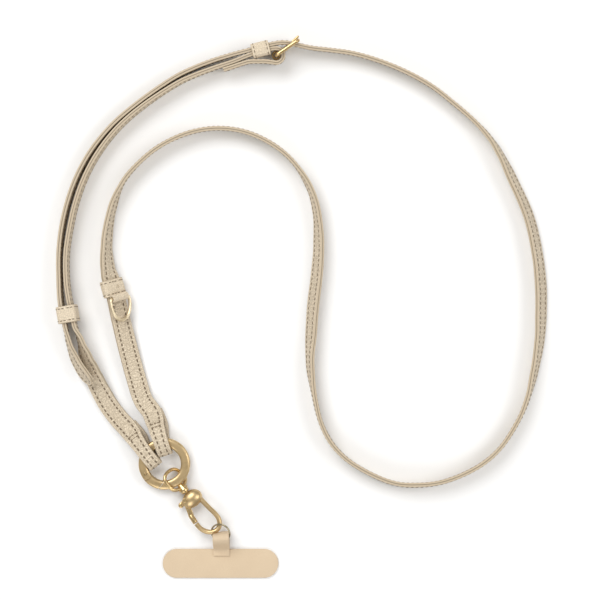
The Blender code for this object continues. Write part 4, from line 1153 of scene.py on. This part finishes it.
room = finish_piece("gate_room", domed_band(first, last, 16, CLEAR * 2), gold)
shaped(room, round_cut(tip_reach + CLEAR), "INTERSECT")
shaped(room, round_cut(joint), "DIFFERENCE")
room_bm = bmesh.new()
room_bm.from_mesh(room.data)
bpy.data.objects.remove(room, do_unlink=True)
ring_piece = finish_piece("gate_ring_gold", domed_band(GATE_TIP_ANGLE - spare, GATE_JOINT_ANGLE + spare + 360, 110), cast_gold)
shaped(ring_piece, room_bm, "DIFFERENCE")
gate_piece = finish_piece("ring_gate_gold", domed_band(first, last, 18), cast_gold)
shaped(gate_piece, round_cut(tip_reach), "INTERSECT")
shaped(gate_piece, round_cut(joint + CLEAR), "DIFFERENCE")
heading, outward = polar(GATE_PIN_ANGLE + 90), polar(GATE_PIN_ANGLE)
fork_deep = GATE_TONGUE_ROUND + CLEAR
fork_length = joint + fork_deep + GATE_RING_BAND / 2
fork_middle = pin_place + heading * (fork_length / 2 - fork_deep)
fork_sizes = (fork_length, GATE_RING_BAND * 1.6, GATE_TONGUE_THICK + 2 * CLEAR)
shaped(ring_piece, squared_bar(fork_middle, heading, outward, UP, fork_sizes), "DIFFERENCE")
tongue_reach = joint + GATE_RING_BAND * 0.35
joint_way = (RING_CENTRE + polar(GATE_JOINT_ANGLE + 3, RING_RADIUS) - pin_place).normalized()
tongue_sizes = (tongue_reach, GATE_TONGUE_ROUND * 1.7, GATE_TONGUE_THICK)
tongue_middle = pin_place + joint_way * tongue_reach / 2
shaped(gate_piece, squared_bar(tongue_middle, joint_way, UP.cross(joint_way), UP, tongue_sizes), "UNION")
shaped(gate_piece, turned_bar(pin_place, UP, GATE_TONGUE_ROUND * 2, GATE_TONGUE_THICK, 0.0001, 40), "UNION")
for piece in (ring_piece, gate_piece):
    shaped(piece, turned_bar(pin_place, UP, GATE_PIN_WIRE + 0.0002, GATE_RING_THICK * 2, 0.0001, 32), "DIFFERENCE")
pin = finish_piece("gate_pin_gold", turned_bar(pin_place, UP, GATE_PIN_WIRE, GATE_RING_THICK, 0.00025), gold)
fitting(ring_piece, "gate_ring")
fitting(gate_piece, "ring_gate", "ring_gate")
fitting(pin, "gate_pin")


# The swivel snap hook: a cast eye on the ring with a collar and post, an egg-shaped barrel with the fixed hook cast
# on it, and a sprung gate on a rivet. AIM runs from the eye to the hook's end, and SIDE is to its right.

AIM = polar(-49.0)
SIDE = -left_of(AIM)
EYE_WIDTH = 0.0122
EYE_LENGTH = 0.0126
EYE_WIRE = 0.0018
NECK_WIRE = 0.0044
NECK_LENGTH = 0.0023
POST_WIRE = 0.0022
BARREL_LENGTH = 0.0088
BARREL_WIDTH = 0.0114
BARREL_THICK = 0.0072
HOOK_WIRE = 0.0025
HOOK_LENGTH = 0.0205
HOOK_HALF_WIDTH = 0.0066
HOOK_RISE = 0.0016
HOOK_GATE_WIRE = 0.0028
HOOK_TONGUE_THICK = 0.0020
RIVET_WIRE = 0.0016
EYE_CENTRE = RING_CENTRE + Vector((0.41, -0.61, 0)) * GATE_RING_OUTER / 2
BARREL_CENTRE = EYE_CENTRE + AIM * (EYE_LENGTH / 2 + NECK_LENGTH + BARREL_LENGTH / 2 + CLEAR)
BARREL_CENTRE.z = BARREL_THICK / 2

# Columns: place along the eye as a share of its length, and half width as a share of its width.
EYE_OUTLINE = (
    (-0.50, 0.00),
    (-0.475, 0.20),
    (-0.39, 0.36),
    (-0.25, 0.46),
    (-0.05, 0.50),
    (0.15, 0.50),
    (0.31, 0.46),
    (0.42, 0.32),
    (0.49, 0.13),
)

# Columns: place along the hook and to its right, as shares of its length and half width.
HOOK_LINE = (
    (0.06, 0.50),
    (0.25, 0.53),
    (0.45, 0.57),
    (0.64, 0.63),
    (0.80, 0.60),
    (0.92, 0.40),
    (0.99, 0.06),
    (0.985, -0.28),
    (0.92, -0.62),
    (0.81, -0.87),
    (0.69, -0.99),
    (0.54, -1.00),
)

def hook_point(along, side, up=0.0):
    return BARREL_CENTRE + AIM * along - SIDE * side + UP * up


def rise_at(along):
    return HOOK_RISE * max(0.0, min(1.0, along / HOOK_LENGTH))


eye_long, eye_wide = EYE_LENGTH - EYE_WIRE, EYE_WIDTH - EYE_WIRE
tilt = math.asin(min(0.9, (RING_Z - EYE_WIRE / 2) / (0.5 * eye_wide)) * 0.93)
across = SIDE * math.cos(tilt) + UP * math.sin(tilt)
neck_end = hook_point(-BARREL_LENGTH / 2 - CLEAR - NECK_LENGTH, 0)
eye_middle = Vector((EYE_CENTRE.x, EYE_CENTRE.y, RING_Z))
fall = (neck_end - eye_middle).normalized()
eye_rows = list(EYE_OUTLINE) + [(a, -h) for a, h in reversed(EYE_OUTLINE[1:])]
eye_knots = [eye_middle + fall * a * eye_long + across * h * eye_wide for a, h in eye_rows]
eye = finish_piece("swivel_eye_gold", round_wire(eye_knots, EYE_WIRE, 24, 0.0005, closed=True), gold)
neck_length = NECK_LENGTH + EYE_WIRE * 0.5
neck_middle = neck_end + AIM * (NECK_LENGTH - EYE_WIRE * 0.5) / 2
shaped(eye, turned_bar(neck_middle, AIM, NECK_WIRE, neck_length, 0.0007, 36), "UNION")
bell = bmesh.new()
bmesh.ops.create_cone(bell, cap_ends=True, segments=40, radius1=0.0009, radius2=NECK_WIRE * 0.62, depth=0.0040)
bmesh.ops.transform(bell, matrix=axes_at(neck_end - AIM * 0.0016, SIDE, AIM.cross(SIDE), AIM), verts=bell.verts)
bmesh.ops.recalc_face_normals(bell, faces=bell.faces)
shaped(eye, bell, "UNION")
fitting(eye, "swivel_eye")


def egg():
    """The barrel: a globe stretched on the hook's axes, with blunter ends."""
    bm = bmesh.new()
    bmesh.ops.create_uvsphere(bm, u_segments=56, v_segments=32, radius=0.5)
    bmesh.ops.rotate(bm, verts=bm.verts, matrix=Matrix.Rotation(math.pi / 2, 3, "Y"))
    for vert in bm.verts:
        vert.co.y *= 1.0 + 0.18 * (1 - abs(2 * vert.co.y)) * abs(2 * vert.co.x)
    sizes = Matrix.Diagonal((BARREL_LENGTH, BARREL_WIDTH, BARREL_THICK, 1))
    bmesh.ops.transform(bm, matrix=axes_at(BARREL_CENTRE, AIM, SIDE, UP) @ sizes, verts=bm.verts)
    bmesh.ops.recalc_face_normals(bm, faces=bm.faces)
    return bm


body = finish_piece("hook_body_gold", egg(), cast_gold)
arm_knots = []
for along_share, side_share in HOOK_LINE:
    arm_knots.append(
        hook_point(along_share * HOOK_LENGTH, side_share * HOOK_HALF_WIDTH, rise_at(along_share * HOOK_LENGTH))
    )
shaped(body, round_wire(arm_knots, HOOK_WIRE, 28, 0.0005), "UNION")
bore_length = 0.0026
bore_middle = hook_point(-BARREL_LENGTH / 2 - CLEAR + bore_length / 2, 0)
shaped(body, turned_bar(bore_middle, AIM, POST_WIRE + CLEAR, bore_length + 2 * CLEAR, 0.0001), "DIFFERENCE")
rivet = hook_point(-0.0019, -0.0029)
slot_side = -0.0029 - BARREL_WIDTH / 2 + HOOK_GATE_WIRE * 0.75
slot_middle = hook_point(-0.0019 + BARREL_WIDTH * 0.2, slot_side)
slot_sizes = (BARREL_WIDTH * 1.6, BARREL_WIDTH, HOOK_TONGUE_THICK + 2 * CLEAR)
shaped(body, squared_bar(slot_middle, AIM, UP.cross(AIM), UP, slot_sizes), "DIFFERENCE")
shaped(body, turned_bar(rivet, UP, RIVET_WIRE + 2 * CLEAR, BARREL_THICK * 2, 0.0001), "DIFFERENCE")
post_middle = hook_point(-BARREL_LENGTH / 2 - CLEAR + 0.0026 / 2 - NECK_LENGTH / 4, 0)
shaped(eye, turned_bar(post_middle, AIM, POST_WIRE, 0.0026 + NECK_LENGTH / 2, 0.0002), "UNION")
fitting(body, "hook_body", "hook")

nose = 0.505 * HOOK_LENGTH + CLEAR
gate_tip = hook_point(nose, HOOK_LINE[-1][1] * HOOK_HALF_WIDTH, rise_at(nose))
gate_root = hook_point(BARREL_LENGTH * 0.66, -HOOK_HALF_WIDTH * 0.91, rise_at(0))
arm_end = gate_root + (gate_tip - gate_root) * 0.2
hook_gate = finish_piece(
    "hook_gate_gold",
    turned_bar(
        (gate_root + gate_tip) / 2, (gate_tip - gate_root).normalized(), HOOK_GATE_WIRE, (gate_tip - gate_root).length, 0.0003
    ),
    gold,
)
arm_way = (arm_end - rivet).normalized()
arm_sizes = ((arm_end - rivet).length, HOOK_GATE_WIRE * 0.95, HOOK_TONGUE_THICK)
shaped(hook_gate, squared_bar((arm_end + rivet) / 2, arm_way, UP.cross(arm_way), UP, arm_sizes, 0.0002), "UNION")
shaped(hook_gate, turned_bar(rivet, UP, HOOK_GATE_WIRE, HOOK_TONGUE_THICK, 0.0002), "UNION")
knob = hook_point(-0.0012, -0.0064)
knob_way = (knob - rivet).normalized()
lever_sizes = ((knob - rivet).length, HOOK_GATE_WIRE * 0.8, HOOK_TONGUE_THICK)
shaped(hook_gate, squared_bar((knob + rivet) / 2, knob_way, UP.cross(knob_way), UP, lever_sizes, 0.0002), "UNION")
shaped(hook_gate, turned_bar(knob, UP, HOOK_GATE_WIRE, HOOK_TONGUE_THICK + CLEAR, 0.0006), "UNION")
shaped(hook_gate, turned_bar(rivet, UP, RIVET_WIRE + 2 * CLEAR, BARREL_THICK * 2, 0.0001), "DIFFERENCE")
fitting(hook_gate, "hook_gate", "hook_gate")

rivet_length = BARREL_THICK * 0.90
rivet_piece = finish_piece("hook_rivet_gold", turned_bar(rivet, UP, RIVET_WIRE, rivet_length, 0.0002), gold)
shaped(rivet_piece, turned_bar(rivet + UP * (rivet_length / 2 + 0.00015), UP, 0.0024, 0.0003, 0.00014), "UNION")
fitting(rivet_piece, "hook_rivet", "hook")


# The jump ring: split wire, leaning so that it passes over the hook's bar and back under it.

JUMP_RING_OUTER = 0.0106
JUMP_RING_WIRE = 0.0009
JUMP_OVER, JUMP_UNDER = (0.93, 0.45), (1.01, -0.68)
radius = (JUMP_RING_OUTER - JUMP_RING_WIRE) / 2
over = hook_point(JUMP_OVER[0] * HOOK_LENGTH, JUMP_OVER[1] * HOOK_HALF_WIDTH)
under = hook_point(JUMP_UNDER[0] * HOOK_LENGTH, JUMP_UNDER[1] * HOOK_HALF_WIDTH)
chord = over - under
chord.z = 0
slope = (HOOK_WIRE / 2 + CLEAR + JUMP_RING_WIRE / 2) / (chord.length * 0.31)
level = BARREL_THICK / 2 + HOOK_RISE
middle = (over + under) / 2
jump_centre = middle - left_of(chord) * math.sqrt(radius**2 - (chord.length / 2) ** 2)
jump_knots = []
for k in range(32):
    point = jump_centre + polar(k * 11.25, radius)
    point.z = level + (point - middle).dot(polar(45.0)) * slope
    jump_knots.append(point)
jump = finish_piece("jump_ring_wire", round_wire(jump_knots, JUMP_RING_WIRE, 18, 0.0005, closed=True), grey_gold)
fitting(jump, "jump_ring", "hook")


# The phone tab: a thin pill of coated sheet with a stem that is folded back round the jump ring and bonded to it.
# The real one is printed, and that place stays bare.

TAB_LENGTH = 0.0600
TAB_DEPTH = 0.0150
TAB_THICK = 0.0010
STEM_WIDTH = 0.0083
STEM_LENGTH = 0.0086
STEM_SHEET = 0.0006
tab_look, tab_tree, tab_shader = new_material("tab_sheet_look", Specular_IOR_Level=0.3)
tab_at = node(tab_tree, "ShaderNodeTexCoord", (-900, 0))
fibres = node(tab_tree, "ShaderNodeTexNoise", (-650, 100), Scale=1900.0, Detail=5.0, Roughness=0.7)
tab_tree.links.new(tab_at.outputs["Object"], fibres.inputs["Vector"])
cloud = node(tab_tree, "ShaderNodeTexNoise", (-650, -200), Scale=70.0, Detail=3.0)
tab_tree.links.new(tab_at.outputs["Object"], cloud.inputs["Vector"])
tab_tone = ramp(tab_tree, (-350, -200), cloud.outputs["Fac"], ((0.3, (0.64, 0.50, 0.345)), (0.7, (0.68, 0.54, 0.375))))
speck = ramp(tab_tree, (-350, 100), fibres.outputs["Fac"], ((0.35, 0.30), (0.6, 0.0)))
tab_colour = blend_colour(tab_tree, (0, 0), speck, tab_tone, (0.52, 0.40, 0.27))
tab_tree.links.new(tab_colour, tab_shader.inputs["Base Color"])
tab_rough = maths(tab_tree, "MULTIPLY_ADD", (0, -250), fibres.outputs["Fac"], 0.2, 0.55)
tab_tree.links.new(tab_rough, tab_shader.inputs["Roughness"])
tab_bump = node(tab_tree, "ShaderNodeBump", (500, -350), Strength=0.25, Distance=0.00004)
tab_tree.links.new(fibres.outputs["Fac"], tab_bump.inputs["Height"])
tab_tree.links.new(tab_bump.outputs["Normal"], tab_shader.inputs["Normal"])

tab_top = jump_centre.y - JUMP_RING_WIRE * 0.5
plate_top = tab_top - STEM_LENGTH
stem_x = jump_centre.x + CLEAR
pill_middle = Vector((stem_x - 0.009 * TAB_LENGTH, plate_top - TAB_DEPTH / 2, 0))


def pill():
    """The pill: two half rounds and a block, grown from a round plate that is drawn out along X."""
    bm = bmesh.new()
    bmesh.ops.create_circle(bm, cap_ends=True, segments=64, radius=TAB_DEPTH / 2)
    for vert in bm.verts:
        vert.co.x += math.copysign(TAB_LENGTH / 2 - TAB_DEPTH / 2, vert.co.x) if abs(vert.co.x) > 1e-6 else 0.0
    lifted = bmesh.ops.extrude_face_region(bm, geom=bm.faces[:])["geom"]
    bmesh.ops.translate(bm, vec=UP * TAB_THICK, verts=[item for item in lifted if isinstance(item, bmesh.types.BMVert)])
    rims = [edge for edge in bm.edges if edge.verts[0].co.z == edge.verts[1].co.z]
    rims = [edge for edge in rims if len(edge.link_faces) == 2]
    bmesh.ops.bevel(bm, geom=rims, offset=0.00028, affect="EDGES", segments=3, profile=0.5, material=-1)
    bmesh.ops.translate(bm, verts=bm.verts, vec=pill_middle)
    return bm


inner_high = level + HOOK_WIRE / 2 + JUMP_RING_WIRE * 2 + 3 * CLEAR
seat = TAB_THICK + STEM_SHEET / 2 - CLEAR / 3
low = STEM_SHEET / 2
# The folded stem's side view. Columns: back from the fold as a share of its length, height as a share of the
# loop's inner height, and lift.
SIDE_VIEW = (
    (1.40, 0.0, low),
    (0.70, 0.0, low),
    (0.18, 0.00, low),
    (0.06, 0.05, low),
    (0.00, 0.20, low),
    (0.00, 0.64, low),
    (0.07, 0.92, low),
    (0.22, 1.00, low),
    (0.45, 0.84, low),
    (0.75, 0.40, low),
    (0.95, 0.08, seat),
    (1.10, 0.00, seat),
    (1.40, 0.00, seat),
)


def folded_stem():
    """The stem: a strip of sheet, a grid bent along the side view and thickened."""
    knots = [Vector((stem_x, tab_top - back * STEM_LENGTH, lift + high * inner_high)) for back, high, lift in SIDE_VIEW]
    line = [point for _, _, point in bend(knots, 0.0005)]
    bm = bmesh.new()
    bmesh.ops.create_grid(bm, x_segments=len(line) - 1, y_segments=8, size=0.5)
    for vert in bm.verts:
        point = line[round((vert.co.x + 0.5) * (len(line) - 1))]
        back = (tab_top - point.y) / STEM_LENGTH
        skew = 0.0010 / STEM_WIDTH * max(0.0, 1 - back)
        x = vert.co.y * STEM_WIDTH
        vert.co = point + Vector((x, x * skew, 0))
    bmesh.ops.recalc_face_normals(bm, faces=bm.faces)
    skin = bmesh.ops.solidify(bm, geom=bm.faces[:], thickness=STEM_SHEET)
    inwards = sum((v.co for v in bm.verts), Vector()) / len(bm.verts)
    return bm, inwards, skin


stem_bm, _, _ = folded_stem()
tab = finish_piece("phone_tab_sheet", pill(), tab_look)
stem = finish_piece("tab_stem_sheet", stem_bm, tab_look)
fitting(tab, "phone_tab", "hook")
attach(stem, "hook")


# The table, the light and the camera: a plain pale floor, a large soft light above and to one side, and a camera
# straight above the strap, as in the photograph.

FLOOR_SIZE = 3.0
CAMERA_PLACE = (-0.0010, 0.0046, 0.8050)
CAMERA_LENS = 93.0

floor_bm = bmesh.new()
bmesh.ops.create_grid(floor_bm, x_segments=1, y_segments=1, size=FLOOR_SIZE)
bmesh.ops.translate(floor_bm, vec=(0, 0, -0.0003), verts=floor_bm.verts)
floor_look, _, _ = new_material("floor_look", Base_Color=(0.90, 0.90, 0.90, 1), Roughness=0.9)
floor = finish_piece("floor", floor_bm, floor_look)

# Columns: place, size, watts. Each faces the middle of the strap.
SOFT_LIGHTS = (
    ((-0.60, 0.80, 1.20), 1.10, 15.6),
    ((0.95, 0.10, 1.00), 0.80, 6.0),
    ((-0.20, -1.00, 0.90), 0.80, 4.8),
)
for place, size, watts in SOFT_LIGHTS:
    data = bpy.data.lights.new("soft_light", "AREA")
    data.shape = "DISK"
    data.size = size
    data.energy = watts
    lamp = bpy.data.objects.new("soft_light", data)
    lamp.location = place
    lamp.rotation_euler = (-Vector(place)).to_track_quat("-Z", "Y").to_euler()
    bpy.context.scene.collection.objects.link(lamp)

world = bpy.data.worlds.new("studio")
world.use_nodes = True
world.node_tree.nodes["Background"].inputs["Color"].default_value = (1.0, 0.99, 0.97, 1)
world.node_tree.nodes["Background"].inputs["Strength"].default_value = 0.42
bpy.context.scene.world = world
bpy.context.scene.view_settings.view_transform = "Standard"

camera_data = bpy.data.cameras.new("camera")
camera_data.lens = CAMERA_LENS
camera_data.sensor_width = 36
camera = bpy.data.objects.new("camera", camera_data)
camera.location = CAMERA_PLACE
bpy.context.scene.collection.objects.link(camera)
bpy.context.scene.camera = camera
